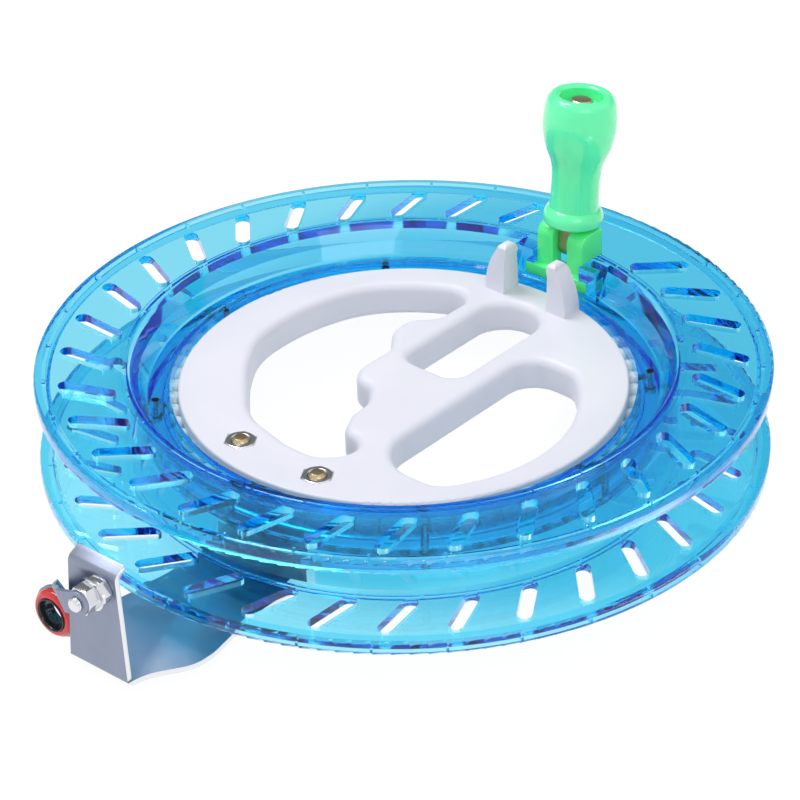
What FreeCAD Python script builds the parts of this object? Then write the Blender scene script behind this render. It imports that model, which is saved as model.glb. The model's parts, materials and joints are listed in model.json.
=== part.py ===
import FreeCAD, Part
import math
import os
import Sketcher

# Kite line winder: a two-part wheel turns on balls round a fixed grip plate.
# Millimetres and degrees. +Z is the wheel's axis, the folding handle is at +Y, the line guide at -Y.
# The origin is on the wheel's axis, half way between the flanges.

V = FreeCAD.Vector
X_AXIS = V(1, 0, 0)
Y_AXIS = V(0, 1, 0)
Z_AXIS = V(0, 0, 1)
OUTWARD = (X_AXIS, 90)   # turns a part's own +Z to -Y, away from the wheel

SIZES = (
    # wheel
    ("wheel_radius", 100.0, "outer radius of both flanges"),
    ("wheel_half_height", 14.3, "middle of the wheel to its outer face"),
    ("bead_width", 3.4, "radial width of the thick bead round a flange"),
    ("bead_depth", 4.1, "axial depth of that bead"),
    ("bead_rounding", 1.1, "rounding of the bead's outer edges"),
    ("rim_groove_width", 1.1, "fine groove beside the bead"),
    ("rim_groove_depth", 0.6, "depth of that groove below the flange"),
    ("flange_thickness", 2.4, "wall of a flange between bead and ridge"),
    ("flange_recess", 0.45, "how far the flange lies below bead and ridge"),
    ("ridge_width", 2.25, "raised ring round the funnel's mouth"),
    ("ridge_groove_width", 0.5, "fine groove along the middle of that ring"),
    ("ridge_groove_depth", 0.6, "depth of that groove"),
    ("rib_width", 0.7, "small ribs that cross both grooves beside each slot"),
    ("mouth_to_drum", 0.45, "funnel mouth to the surface that the line is wound on"),
    ("drum_wall", 2.0, "wall of the drum"),
    ("funnel_widening", 3.65, "how much wider the funnel is at its top than at its foot"),
    ("ledge_width", 5.95, "radial width of the inner ledge"),
    ("mouth_widening", 1.35, "how much wider the funnel gets in its lead-in"),
    ("funnel_lead", 1.3, "height of the lead-in above the funnel"),
    ("ledge_height", 6.15, "middle of the wheel to the inner ledge"),
    ("bore_setback", 0.96, "ball circle to the inner edge of the ledge"),
    ("lip_width", 2.1, "raised lip round the bore"),
    ("lip_rise", 0.25, "height of that lip above the ledge"),
    ("channel_depth", 1.1, "channel between lip and funnel"),
    ("funnel_wall", 0.85, "wall between the funnel and the hollow inside the halves"),
    ("cavity_depth", 4.7, "depth of that hollow in each half, inner side"),
    ("cavity_outer_depth", 8.7, "depth of that hollow in each half, outer side"),
    ("slot_count", 32.0, "slots round a flange"),
    ("slot_width", 4.1, "width of one slot"),
    ("slot_inner_margin", 1.55, "ridge to the inner end of a slot"),
    ("slot_outer_margin", 3.15, "outer end of a slot to the bead"),
    ("slot_slant", 30.0, "angle between a slot and the radius"),
    ("wheel_screw_count", 8.0, "screws that join the halves"),
    ("wheel_screw_setback", 4.0, "inner edge of the ledge to the screws that join the halves"),
    ("wheel_screw_diameter", 2.2, "their thread"),
    ("wheel_screw_head", 3.4, "their head diameter"),
    ("wheel_screw_head_height", 1.3, "their head height"),
    ("wheel_screw_bite", 3.6, "thread in the upper half"),
    # bearing
    ("ball_diameter", 6.0, "bearing ball"),
    ("ball_circle_radius", 62.64, "axis to ball centre"),
    ("ball_count", 62.0, "balls in the ring"),
    ("race_clearance", 0.1, "ball to race"),
    # grip plate
    ("plate_setback", 1.28, "ball circle to the rim of the grip plate"),
    ("plate_top", 6.15, "middle of the wheel to the plate's top"),
    ("plate_thickness", 10.2, "grip plate, top to bottom"),
    ("plate_edge_rounding", 0.8, "rounding round the plate's rim"),
    ("hole_rounding", 2.7, "rounding of the hand holes' upper edges"),
    ("hole_under_rounding", 2.4, "rounding of the hand holes' lower edges"),
    ("thumb_hole_left", -8.3, "thumb hole, left wall"),
    ("thumb_hole_right", 10.7, "thumb hole, right wall"),
    ("thumb_hole_near", 9.0, "thumb hole, near wall"),
    ("thumb_hole_setback", 0.9, "thumb hole, wall at the handle to the horns"),
    ("palm_hole_left", 18.4, "palm hole, straight wall"),
    ("palm_hole_near", -34.4, "palm hole, wall at the line guide"),
    ("palm_hole_far", 31.9, "palm hole, wall at the handle"),
    ("palm_hole_wall", 15.86, "palm hole, how much smaller its curved wall is than the rim"),
    # horns that hold the folded handle
    ("horn_play", 0.48, "folded knob's neck to a horn's catch"),
    ("horn_recess", 0.35, "horn's inner face behind the catch"),
    ("horn_foot_half_width", 13.9, "middle of the plate to a horn's outer side"),
    ("horn_depth", 7.0, "horns at the plate, near face to far face"),
    ("horn_near_lean", 0.6, "how far that face leans back at the top"),
    ("horn_setback", 1.96, "far face of the horns to the rim of the plate"),
    ("horn_far_lean", 0.9, "how far that face leans forward at the top"),
    ("horn_top", 21.4, "middle of the wheel to the horns' tips"),
    ("horn_front_drop", 1.1, "tip to the front of the horn's top"),
    ("horn_back_drop", 3.8, "tip to the back of the horn's top"),
    ("horn_tip_radius", 1.5, "rounded tip seen from the front"),
    ("horn_catch_drop", 3.5, "tip to the underside of the catch"),
    # folding handle
    ("clevis_setback", 2.95, "inner edge of the ledge to the face of the clevis foot"),
    ("clevis_foot_depth", 5.75, "foot, front to back"),
    ("clevis_foot_half_width", 10.95, "half the width of the foot"),
    ("clevis_foot_height", 3.75, "height of the foot"),
    ("clevis_ear_setback", 1.65, "face of the foot to the front of the ears"),
    ("clevis_ear_depth", 9.3, "ears, front to back"),
    ("clevis_half_width", 8.1, "half the width over the ears"),
    ("clevis_slot_width", 5.0, "gap between the ears"),
    ("clevis_slot_floor", 0.6, "floor of that gap above the foot"),
    ("ear_height", 6.45, "hinge to the top of the ears"),
    ("ear_seat_depth", 1.55, "outer face of the wheel down to the underside of the ears"),
    ("clevis_front_rounding", 3.5, "rounding of the ears' front crest"),
    ("clevis_back_rounding", 1.2, "rounding of the ears' back crest"),
    ("socket_wall", 3.55, "wheel's socket, wall beside the clevis foot"),
    ("socket_depth", 6.85, "face of the clevis foot to the back of the socket block"),
    ("socket_clearance", 0.1, "play of the clevis in its socket"),
    ("socket_floor", 6.05, "middle of the wheel to the socket's floor"),
    ("hinge_setback", 7.05, "face of the clevis foot to the handle's hinge"),
    ("hinge_rise", 1.65, "outer face of the wheel up to that hinge"),
    ("hinge_pin_diameter", 3.0, "hinge pin"),
    ("hinge_pin_end_wall", 1.2, "ear wall that closes the pin's hole"),
    ("running_clearance", 0.05, "radial play of the hinge and the knob"),
    ("handle_lean", 5.5, "open handle leans outward from upright"),
    ("tang_play", 0.08, "tang to ear, and tang to the floor under it"),
    ("spindle_diameter", 4.8, "spindle inside the knob"),
    ("collar_start", 7.25, "hinge to the knob's lower end"),
    ("collar_length", 4.3, "length of the knob's collar"),
    ("collar_radius", 8.6, "radius of that collar"),
    ("neck_radius", 6.87, "narrowest part of the knob"),
    ("neck_place", 19.0, "hinge to that narrowest part"),
    ("bulb_radius", 10.45, "widest part of the knob"),
    ("bulb_place", 37.0, "hinge to that widest part"),
    ("knob_end", 46.1, "hinge to the knob's upper end"),
    ("knob_mouth_radius", 6.1, "radius of the recess in the knob's end"),
    ("knob_rim_width", 2.8, "rounded rim round that recess"),
    ("knob_floor", 42.25, "hinge to the floor of that recess"),
    ("knob_end_play", 0.15, "play along the spindle"),
    ("knob_screw_head", 6.8, "head of the screw that keeps the knob on"),
    ("knob_screw_height", 2.2, "height of that head"),
    ("knob_screw_crown", 0.7, "rounding of that head's edge"),
    ("knob_screw_thread", 3.5, "thread of that screw"),
    ("knob_screw_length", 12.0, "length of that thread"),
    # guide arm
    ("sheet_thickness", 1.5, "sheet of the guide arm"),
    ("arm_tab_end", 8.5, "arm's bolts to its inner end"),
    ("arm_riser_gap", 5.7, "outer face of the arm's riser to the inner edge of the ledge"),
    ("arm_bottom", 24.1, "middle of the wheel to the arm's underside"),
    ("arm_overhang", 20.0, "rim of the wheel to the outer face of the upright"),
    ("arm_half_width", 15.0, "half the width at the riser"),
    ("arm_tab_half_width", 19.5, "half the width at the plate"),
    ("arm_belly_half_width", 18.2, "half the width outside the rim"),
    ("arm_belly_setback", 23.6, "outer face of the upright back to that widest place"),
    ("upright_foot_half_width", 10.2, "half the upright's width at its foot"),
    ("upright_top_half_width", 8.0, "half the upright's width at its top"),
    ("upright_height", 32.0, "arm's underside to the top of the straight upright"),
    ("upright_lip_back", 3.4, "rolled-in edge, towards the wheel"),
    ("upright_lip_rise", 1.9, "rise of that edge"),
    ("arm_bend_radius", 1.5, "bends, on the sheet's middle"),
    # bolts of the guide arm
    ("arm_bolt_half_spacing", 13.6, "half the distance between the arm's bolts"),
    ("arm_bolt_setback", 7.4, "those bolts to the outer face of the arm's riser"),
    ("arm_bolt_diameter", 5.0, "their thread"),
    ("arm_bolt_hole", 5.3, "their holes"),
    ("arm_bolt_flats", 8.0, "their heads and nuts, across the flats"),
    ("arm_bolt_head_height", 3.5, "height of those heads"),
    ("arm_bolt_dome", 0.8, "rounded end of those bolts"),
    ("arm_nut_height", 4.0, "their nuts, sunk in the plate"),
    ("arm_nut_proud", 0.25, "nut above the plate"),
    ("arm_nut_play", 0.1, "play of a nut in its seat"),
    ("arm_washer_diameter", 10.0, "their washers"),
    ("arm_washer_thickness", 1.0, "thickness of those washers"),
    # line guide
    ("guide_bolt_offset", 3.45, "guide bolt beside the middle of the upright"),
    ("guide_bolt_height", 3.7, "middle of the wheel to the guide bolt"),
    ("guide_bolt_diameter", 4.0, "its thread"),
    ("guide_bolt_head", 5.4, "its round head, behind the upright"),
    ("guide_bolt_head_height", 2.4, "height of that head"),
    ("guide_nut_flats", 7.0, "its nuts, across the flats"),
    ("guide_nut_height", 3.2, "height of a guide nut"),
    ("guide_washer_diameter", 9.0, "washer between the nuts"),
    ("guide_washer_thickness", 0.8, "thickness of that washer"),
    ("guide_outer_nut_height", 4.0, "the guide bolt's outer nut, thickness"),
    ("guide_bolt_end", 0.9, "guide bolt, length past the frame before its chamfer"),
    ("guide_bolt_chamfer", 0.5, "guide bolt, chamfer at its end"),
    ("frame_sheet", 1.0, "sheet of the guide frame"),
    ("frame_eye_radius", 3.5, "eye of the guide frame"),
    ("frame_neck_width", 7.2, "ring frame, widest part of its neck"),
    ("frame_waist_width", 4.6, "ring frame, narrowest part of its neck"),
    ("ring_offset", -17.4, "line ring beside the middle of the arm"),
    ("ring_height", -14.5, "middle of the wheel to the line ring, downward"),
    ("ring_setback", 0.9, "outer face of the upright back to the front of the line ring"),
    ("ring_depth", 4.6, "line ring, front to back"),
    ("ring_radius", 6.7, "outer radius of the red ring"),
    ("ring_edge_rounding", 0.9, "rounding of the red ring's outer edges"),
    ("ring_seat_radius", 5.5, "where the red ring sits in its frame"),
    ("ring_frame_radius", 7.3, "outer radius of the frame round the ring"),
    ("ring_frame_setback", 2.2, "front of the ring to the frame"),
    ("insert_radius", 4.7, "outer radius of the ceramic insert"),
    ("insert_bore_radius", 4.0, "bore that the line runs through"),
    ("insert_flare", 0.4, "insert beyond the red ring at each end"),
)


# --- sizes: a number together with the sheet expression that gives it ---------------------------

class Size:
    """A value with the sheet expression that it comes from."""

    def __init__(self, value, text):
        self.value = value
        self.text = text

    def __add__(self, other):
        other = as_size(other)
        return Size(self.value + other.value, "(%s + %s)" % (self.text, other.text))

    def __radd__(self, other):
        return as_size(other) + self

    def __sub__(self, other):
        other = as_size(other)
        return Size(self.value - other.value, "(%s - %s)" % (self.text, other.text))

    def __rsub__(self, other):
        return as_size(other) - self

    def __mul__(self, other):
        other = as_size(other)
        return Size(self.value * other.value, "(%s * %s)" % (self.text, other.text))

    def __rmul__(self, other):
        return as_size(other) * self

    def __truediv__(self, other):
        other = as_size(other)
        return Size(self.value / other.value, "(%s / %s)" % (self.text, other.text))

    def __rtruediv__(self, other):
        return as_size(other) / self

    def __neg__(self):
        return self * -1


def as_size(value):
    """Plain numbers become sizes with no cell of their own."""
    if isinstance(value, Size):
        return value
    return Size(float(value), "(%r)" % float(value))


class Sheet:
    """The spreadsheet, read by name: sheet.wheel_radius is a Size, num("wheel_radius") a number."""

    def __init__(self, doc):
        self.table = doc.addObject("Spreadsheet::Sheet", "Sizes")
        for row, (alias, value, meaning) in enumerate(SIZES, start=1):
            self.table.set("A%d" % row, meaning)
            self.table.set("B%d" % row, "%g" % value)
            self.table.setAlias("B%d" % row, alias)
        doc.recompute()

    def __getattr__(self, alias):
        return Size(float(self.table.get(alias)), "Sizes.%s" % alias)

    def num(self, alias):
        return float(self.table.get(alias))


def cosine(degrees):
    return Size(math.cos(math.radians(degrees.value)), "cos(%s * 1 deg)" % degrees.text)


def sine(degrees):
    return Size(math.sin(math.radians(degrees.value)), "sin(%s * 1 deg)" % degrees.text)


def tangent(degrees):
    return Size(math.tan(math.radians(degrees.value)), "tan(%s * 1 deg)" % degrees.text)


def bind(item, prop, value):
    """Tie a property to the sheet."""
    value = as_size(value)
    item.setExpression(prop, value.text)


def place(item, x=0, y=0, z=0, turn=None):
    """Tie an object's place to the sheet; turn is a fixed (axis, degrees)."""
    if turn:
        item.Placement = FreeCAD.Placement(V(0, 0, 0), FreeCAD.Rotation(*turn))
    bind(item, "Placement.Base.x", x)
    bind(item, "Placement.Base.y", y)
    bind(item, "Placement.Base.z", z)


doc = FreeCAD.newDocument("kite_line_winder")
sheet = Sheet(doc)
num = sheet.num

# places that follow from the sizes, from the ring of balls outward
bore_radius = sheet.ball_circle_radius + sheet.bore_setback
plate_radius = sheet.ball_circle_radius - sheet.plate_setback
funnel_foot_radius = bore_radius + sheet.ledge_width
funnel_top_radius = funnel_foot_radius + sheet.funnel_widening
funnel_mouth_radius = funnel_top_radius + sheet.mouth_widening
drum_radius = funnel_mouth_radius + sheet.mouth_to_drum
cavity_inner_radius = funnel_foot_radius + sheet.funnel_wall
wheel_screw_circle = bore_radius + sheet.wheel_screw_setback
slot_inner_end = funnel_mouth_radius + sheet.ridge_width + sheet.slot_inner_margin
slot_outer_end = sheet.wheel_radius - sheet.bead_width - sheet.slot_outer_margin
slot_middle_radius = (slot_inner_end + slot_outer_end) / 2
slot_half_run = (slot_outer_end - slot_inner_end - sheet.slot_width) / 2 / cosine(sheet.slot_slant)

# places on the grip plate, the handle and the guide arm
palm_hole_radius = plate_radius - sheet.palm_hole_wall
horn_half_gap = sheet.neck_radius + sheet.horn_play
horn_far = plate_radius - sheet.horn_setback
horn_near = horn_far - sheet.horn_depth
thumb_hole_far = horn_near - sheet.thumb_hole_setback
clevis_front = bore_radius + sheet.clevis_setback
clevis_back_floor = sheet.wheel_half_height - sheet.ear_seat_depth
hinge_forward = clevis_front + sheet.hinge_setback
hinge_height = sheet.wheel_half_height + sheet.hinge_rise
clevis_top = hinge_height + sheet.ear_height
socket_half_width = sheet.clevis_foot_half_width + sheet.socket_wall
socket_back = clevis_front + sheet.socket_depth
arm_riser = bore_radius - sheet.arm_riser_gap
arm_bolt_place = arm_riser - sheet.arm_bolt_setback
arm_tab_start = arm_bolt_place - sheet.arm_tab_end
arm_reach = sheet.wheel_radius + sheet.arm_overhang
arm_belly_place = arm_reach - sheet.arm_belly_setback
ring_front = arm_reach - sheet.ring_setback


# --- Part helpers -------------------------------------------------------------------------------

def cylinder(name, radius, height, x=0, y=0, z=0, turn=None):
    item = doc.addObject("Part::Cylinder", name)
    bind(item, "Radius", radius)
    bind(item, "Height", height)
    place(item, x, y, z, turn)
    return item


def hexagon(name, flats, height, x=0, y=0, z=0, turn=None):
    item = doc.addObject("Part::Prism", name)
    item.Polygon = 6
    bind(item, "Circumradius", flats / math.sqrt(3.0))
    bind(item, "Height", height)
    place(item, x, y, z, turn)
    return item


def cut(name, base, tool):
    item = doc.addObject("Part::Cut", name)
    item.Base = base
    item.Tool = tool
    return item


def fuse(name, parts):
    item = doc.addObject("Part::MultiFuse", name)
    item.Shapes = parts
    return item


def group(name, parts):
    """Separate solids that share one node."""
    item = doc.addObject("Part::Compound", name)
    item.Links = parts
    return item


def shape(name, solid):
    """A form that neither sketches nor primitives suit."""
    item = doc.addObject("Part::Feature", name)
    item.Shape = solid
    return item


def rounded(name, base, radius, chosen):
    """Part::Fillet on the edges that chosen(edge) accepts."""
    doc.recompute()
    picks = [number for number, edge in enumerate(base.Shape.Edges, start=1) if chosen(edge)]
    item = doc.addObject("Part::Fillet", name)
    item.Base = base
    item.Edges = [(number, radius.value, radius.value) for number in picks]
    return item


# --- PartDesign helpers -------------------------------------------------------------------------

def new_body(name):
    return doc.addObject("PartDesign::Body", name)


def origin_part(body, role):
    return [item for item in body.Origin.OriginFeatures if item.Role == role][0]


def new_sketch(body, name, plane, lift=None):
    """A sketch on one of the body's own planes, lifted along its normal by a size."""
    sketch = body.newObject("Sketcher::SketchObject", name)
    sketch.AttachmentSupport = [(origin_part(body, plane), "")]
    sketch.MapMode = "FlatFace"
    if lift is not None:
        bind(sketch, "AttachmentOffset.Base.z", lift)
    return sketch


def corners(sketch, points):
    """A closed outline of straight sides with every corner tied to the sheet."""
    points = [(as_size(x), as_size(y)) for x, y in points]
    first = sketch.GeometryCount
    count = len(points)
    for index in range(count):
        here = points[index]
        there = points[(index + 1) % count]
        sketch.addGeometry(Part.LineSegment(V(here[0].value, here[1].value, 0),
                                            V(there[0].value, there[1].value, 0)))
    for index in range(count):
        following = first + (index + 1) % count
        sketch.addConstraint(Sketcher.Constraint("Coincident", first + index, 2, following, 1))
    for index, (x, y) in enumerate(points):
        tie(sketch, "DistanceX", first + index, 1, x)
        tie(sketch, "DistanceY", first + index, 1, y)


def tie(sketch, kind, line, end, value):
    """One coordinate of one point, measured from the sketch's origin."""
    number = sketch.addConstraint(Sketcher.Constraint(kind, -1, 1, line, end, value.value))
    bind(sketch, "Constraints[%d]" % number, value)


def circle(sketch, x, y, radius):
    x, y, radius = as_size(x), as_size(y), as_size(radius)
    line = sketch.addGeometry(Part.Circle(V(x.value, y.value, 0), Z_AXIS, radius.value))
    tie(sketch, "DistanceX", line, 3, x)
    tie(sketch, "DistanceY", line, 3, y)
    number = sketch.addConstraint(Sketcher.Constraint("Radius", line, radius.value))
    bind(sketch, "Constraints[%d]" % number, radius)


def stadium(sketch, half_run, radius):
    """A slot along the sketch's X, centred on its origin."""
    right = Part.Circle(V(half_run.value, 0, 0), Z_AXIS, radius.value)
    left = Part.Circle(V(-half_run.value, 0, 0), Z_AXIS, radius.value)
    quarter = math.pi / 2
    sketch.addGeometry(Part.ArcOfCircle(right, -quarter, quarter))
    sketch.addGeometry(Part.ArcOfCircle(left, quarter, 3 * quarter))
    top = V(half_run.value, radius.value, 0), V(-half_run.value, radius.value, 0)
    bottom = V(-half_run.value, -radius.value, 0), V(half_run.value, -radius.value, 0)
    sketch.addGeometry(Part.LineSegment(*top))
    sketch.addGeometry(Part.LineSegment(*bottom))
    for first, end, second, start in ((0, 2, 2, 1), (2, 2, 1, 1), (1, 2, 3, 1), (3, 2, 0, 1)):
        sketch.addConstraint(Sketcher.Constraint("Tangent", first, end, second, start))
    sketch.addConstraint(Sketcher.Constraint("Horizontal", 2))
    tie(sketch, "DistanceX", 0, 3, half_run)
    tie(sketch, "DistanceY", 0, 3, as_size(0))
    tie(sketch, "DistanceX", 1, 3, -half_run)
    number = sketch.addConstraint(Sketcher.Constraint("Radius", 0, radius.value))
    bind(sketch, "Constraints[%d]" % number, radius)


def add_feature(body, kind, name, sketch):
    feature = body.newObject("PartDesign::" + kind, name)
    feature.Profile = sketch
    sketch.Visibility = False
    return feature


def turned(body, name, sketch, kind="Revolution"):
    """A full turn about the sketch's vertical axis; kind Groove takes material away."""
    feature = add_feature(body, kind, name, sketch)
    feature.ReferenceAxis = (sketch, ["V_Axis"])
    feature.Angle = 360.0
    return feature


def pad(body, name, sketch, length, downward=False):
    feature = add_feature(body, "Pad", name, sketch)
    bind(feature, "Length", length)
    feature.Reversed = downward
    return feature


def pocket(body, name, sketch, length, upward=False):
    """Cuts along -normal of its sketch, or along the normal if upward."""
    feature = add_feature(body, "Pocket", name, sketch)
    bind(feature, "Length", length)
    feature.Reversed = upward
    return feature


def around(body, name, features, count, angle):
    """Copies of features round the body's Z axis."""
    pattern = body.newObject("PartDesign::PolarPattern", name)
    pattern.Originals = features
    pattern.Axis = (origin_part(body, "Z_Axis"), [""])
    bind(pattern, "Angle", angle)
    bind(pattern, "Occurrences", count)
    body.Tip = pattern
    return pattern


def soften(body, name, radius, chosen):
    """PartDesign::Fillet on the edges of the body so far that chosen(edge) accepts."""
    doc.recompute()
    base = body.Tip
    names = ["Edge%d" % number for number, edge in enumerate(base.Shape.Edges, start=1) if chosen(edge)]
    feature = body.newObject("PartDesign::Fillet", name)
    feature.Base = (base, names)
    bind(feature, "Radius", radius)
    return feature


def is_ring(edge, radius, height, slack=0.01):
    """True for a full circle about Z with this radius at this height."""
    if not isinstance(edge.Curve, Part.Circle):
        return False
    centre = edge.Curve.Center
    on_axis = math.hypot(centre.x, centre.y) < slack
    return on_axis and abs(edge.Curve.Radius - radius) < slack and abs(centre.z - height) < slack


def is_upright(edge, slack=0.001):
    """True for a straight edge along Z."""
    if len(edge.Vertexes) != 2:
        return False
    low, high = edge.Vertexes[0].Point, edge.Vertexes[1].Point
    return abs(low.x - high.x) < slack and abs(low.y - high.y) < slack and abs(low.z - high.z) > slack


# --- wheel --------------------------------------------------------------------------------------

def wheel_outline(side):
    """Half section of one wheel half, as radius and height; side is 1 above, -1 below."""
    s = sheet
    top = s.wheel_half_height
    skin = top - s.flange_recess
    under = skin - s.flange_thickness
    rim_groove_floor = skin - s.rim_groove_depth
    bead_under = top - s.bead_depth
    bead_in = s.wheel_radius - s.bead_width
    bead_top_in = bead_in + s.rim_groove_width
    ridge_in = funnel_mouth_radius
    ridge_out = ridge_in + s.ridge_width
    ridge_groove_in = ridge_in + (s.ridge_width - s.ridge_groove_width) / 2
    ridge_groove_out = ridge_groove_in + s.ridge_groove_width
    ridge_groove_floor = top - s.ridge_groove_depth
    foot = funnel_foot_radius
    ledge = s.ledge_height
    channel = ledge - s.channel_depth
    lip_out = bore_radius + s.lip_width
    lip_top = ledge + s.lip_rise
    cavity_out = drum_radius - s.drum_wall
    points = [
        (s.wheel_radius, bead_under), (s.wheel_radius, top),
        (bead_top_in, top), (bead_top_in, rim_groove_floor), (bead_in, rim_groove_floor), (bead_in, skin),
        (ridge_out, skin), (ridge_out, top), (ridge_groove_out, top), (ridge_groove_out, ridge_groove_floor),
        (ridge_groove_in, ridge_groove_floor), (ridge_groove_in, top), (ridge_in, top),
        (funnel_top_radius, top - s.funnel_lead), (foot, ledge), (foot, channel), (lip_out, channel),
        (lip_out, lip_top), (bore_radius, lip_top), (bore_radius, 0),
        (cavity_inner_radius, 0), (cavity_inner_radius, s.cavity_depth),
        (cavity_out, s.cavity_outer_depth), (cavity_out, 0), (drum_radius, 0),
        (drum_radius, under), (bead_in - s.bead_rounding, under), (bead_in, bead_under),
    ]
    return [(radius, height * side) for radius, height in points]


def slot_ribs(body, name, bearing, side):
    """Two small ribs in line with one slot: one across the ridge's groove, one across the rim's."""
    s = sheet
    top = s.wheel_half_height
    skin = top - s.flange_recess
    slant = tangent(s.slot_slant)
    bead_in = s.wheel_radius - s.bead_width
    ridge_middle = funnel_mouth_radius + s.ridge_width / 2
    ridge_shift = (slot_middle_radius - ridge_middle) * slant
    rim_middle = bead_in + s.rim_groove_width / 2
    rim_shift = (slot_middle_radius - rim_middle) * slant
    ridge_half = s.ridge_groove_width
    rim_half = s.rim_groove_width
    half = s.rib_width / 2
    foot = skin - s.rim_groove_depth
    sketch = new_sketch(body, name + "_outline", "XY_Plane", foot * side)
    bind(sketch, "AttachmentOffset.Rotation.Angle", bearing)
    for middle, shift, reach in ((ridge_middle, ridge_shift, ridge_half), (rim_middle, rim_shift, rim_half)):
        corners(sketch, [(middle - reach, shift - half), (middle + reach, shift - half),
                         (middle + reach, shift + half), (middle - reach, shift + half)])
    return pad(body, name, sketch, top - foot, downward=side < 0)


def wheel_half(name, side, missing_slots):
    """One moulded half: revolved section, rounded bead, ball race, flange slots and their ribs."""
    s = sheet
    body = new_body(name)
    section = new_sketch(body, name + "_section", "XZ_Plane")
    corners(section, wheel_outline(side))
    turned(body, name + "_revolved", section)

    top = num("wheel_half_height") * side
    low = (num("wheel_half_height") - num("bead_depth")) * side
    rim = num("wheel_radius")
    soften(body, name + "_bead", s.bead_rounding,
           lambda edge: is_ring(edge, rim, top) or is_ring(edge, rim, low))

    race = new_sketch(body, name + "_race_section", "XZ_Plane")
    circle(race, s.ball_circle_radius, 0, s.ball_diameter / 2 + s.race_clearance)
    turned(body, name + "_race", race, "Groove")

    pitch = 360 / s.slot_count
    # the first slot follows the gap that the missing ones leave at the handle
    bearing = 90 + pitch * (0.5 + missing_slots / 2.0)
    slot = new_sketch(body, name + "_slot_outline", "XY_Plane")
    bind(slot, "AttachmentOffset.Base.x", slot_middle_radius * cosine(bearing))
    bind(slot, "AttachmentOffset.Base.y", slot_middle_radius * sine(bearing))
    bind(slot, "AttachmentOffset.Rotation.Angle", bearing - s.slot_slant)
    stadium(slot, slot_half_run, s.slot_width / 2)
    one_slot = pocket(body, name + "_slot", slot, s.wheel_half_height + 1, upward=side > 0)
    ribs = slot_ribs(body, name + "_ribs", bearing, side)
    turn = as_size(360) if missing_slots == 0 else pitch * (s.slot_count - missing_slots - 1)
    around(body, name + "_slots", [one_slot, ribs], s.slot_count - missing_slots, turn)
    return body


def screw_holes(body, name, radius, depth, upward):
    """A circle of holes for the screws that join the halves."""
    sketch = new_sketch(body, name + "_outline", "XY_Plane")
    circle(sketch, wheel_screw_circle, 0, radius)
    one_hole = pocket(body, name, sketch, depth, upward)
    around(body, name + "s", [one_hole], sheet.wheel_screw_count, as_size(360))


def rectangle(sketch, half_width, near, far):
    corners(sketch, [(-half_width, near), (half_width, near), (half_width, far), (-half_width, far)])


def add_socket(body):
    """The T-slot block that holds the handle's clevis: rails over the foot, open at the front."""
    s = sheet
    play = s.socket_clearance
    opening = clevis_front - 1
    foot_back = clevis_front + s.clevis_foot_depth + play
    foot_reach = s.clevis_foot_half_width + play
    ear_reach = s.clevis_half_width + play
    ear_back = clevis_front + s.clevis_ear_setback + s.clevis_ear_depth + play
    foot_level = s.socket_floor + play
    channel = s.ledge_height - s.channel_depth

    block = new_sketch(body, "socket_outline", "XY_Plane", channel)
    rectangle(block, socket_half_width, clevis_front, socket_back)
    pad(body, "socket_block", block, s.wheel_half_height - channel)

    foot = new_sketch(body, "foot_slot_outline", "XY_Plane", s.socket_floor)
    rectangle(foot, foot_reach, opening, foot_back)
    pocket(body, "foot_slot", foot, s.clevis_foot_height + play * 2, upward=True)

    neck = new_sketch(body, "neck_slot_outline", "XY_Plane", foot_level)
    rectangle(neck, ear_reach, opening, foot_back)
    pocket(body, "neck_slot", neck, s.wheel_half_height, upward=True)

    back = new_sketch(body, "ear_seat_outline", "XY_Plane", clevis_back_floor - play)
    rectangle(back, ear_reach, clevis_front, ear_back)
    pocket(body, "ear_seat", back, s.wheel_half_height, upward=True)


def make_wheel():
    s = sheet
    thread = s.wheel_screw_diameter / 2
    upper = wheel_half("wheel_upper_half", 1, 2)
    add_socket(upper)
    screw_holes(upper, "pilot_hole", thread, s.wheel_screw_bite, True)
    lower = wheel_half("wheel_lower_half", -1, 0)
    screw_holes(lower, "clearance_hole", thread, s.wheel_half_height, False)
    head_seat = s.ledge_height - s.channel_depth

    screws = []
    for index in range(int(num("wheel_screw_count"))):
        bearing = index * 360 / s.wheel_screw_count
        x = wheel_screw_circle * cosine(bearing)
        y = wheel_screw_circle * sine(bearing)
        tag = "wheel_screw_%d" % (index + 1)
        shank = cylinder(tag + "_shank", thread, head_seat + s.wheel_screw_bite, x, y, -head_seat)
        head = cylinder(tag + "_head", s.wheel_screw_head / 2, s.wheel_screw_head_height,
                        x, y, -head_seat - s.wheel_screw_head_height)
        screws.append(fuse(tag, [shank, head]))
    return [upper, lower, group("wheel_screws", screws)]


def make_balls():
    """The ring of balls between the wheel and the grip plate."""
    balls = []
    for index in range(int(num("ball_count"))):
        ball = doc.addObject("Part::Sphere", "ball_%d" % (index + 1))
        bind(ball, "Radius", sheet.ball_diameter / 2)
        bearing = index * 360 / sheet.ball_count
        place(ball, sheet.ball_circle_radius * cosine(bearing), sheet.ball_circle_radius * sine(bearing), 0)
        balls.append(ball)
    return [group("bearing_balls", balls)]


# --- grip plate ---------------------------------------------------------------------------------

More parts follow.
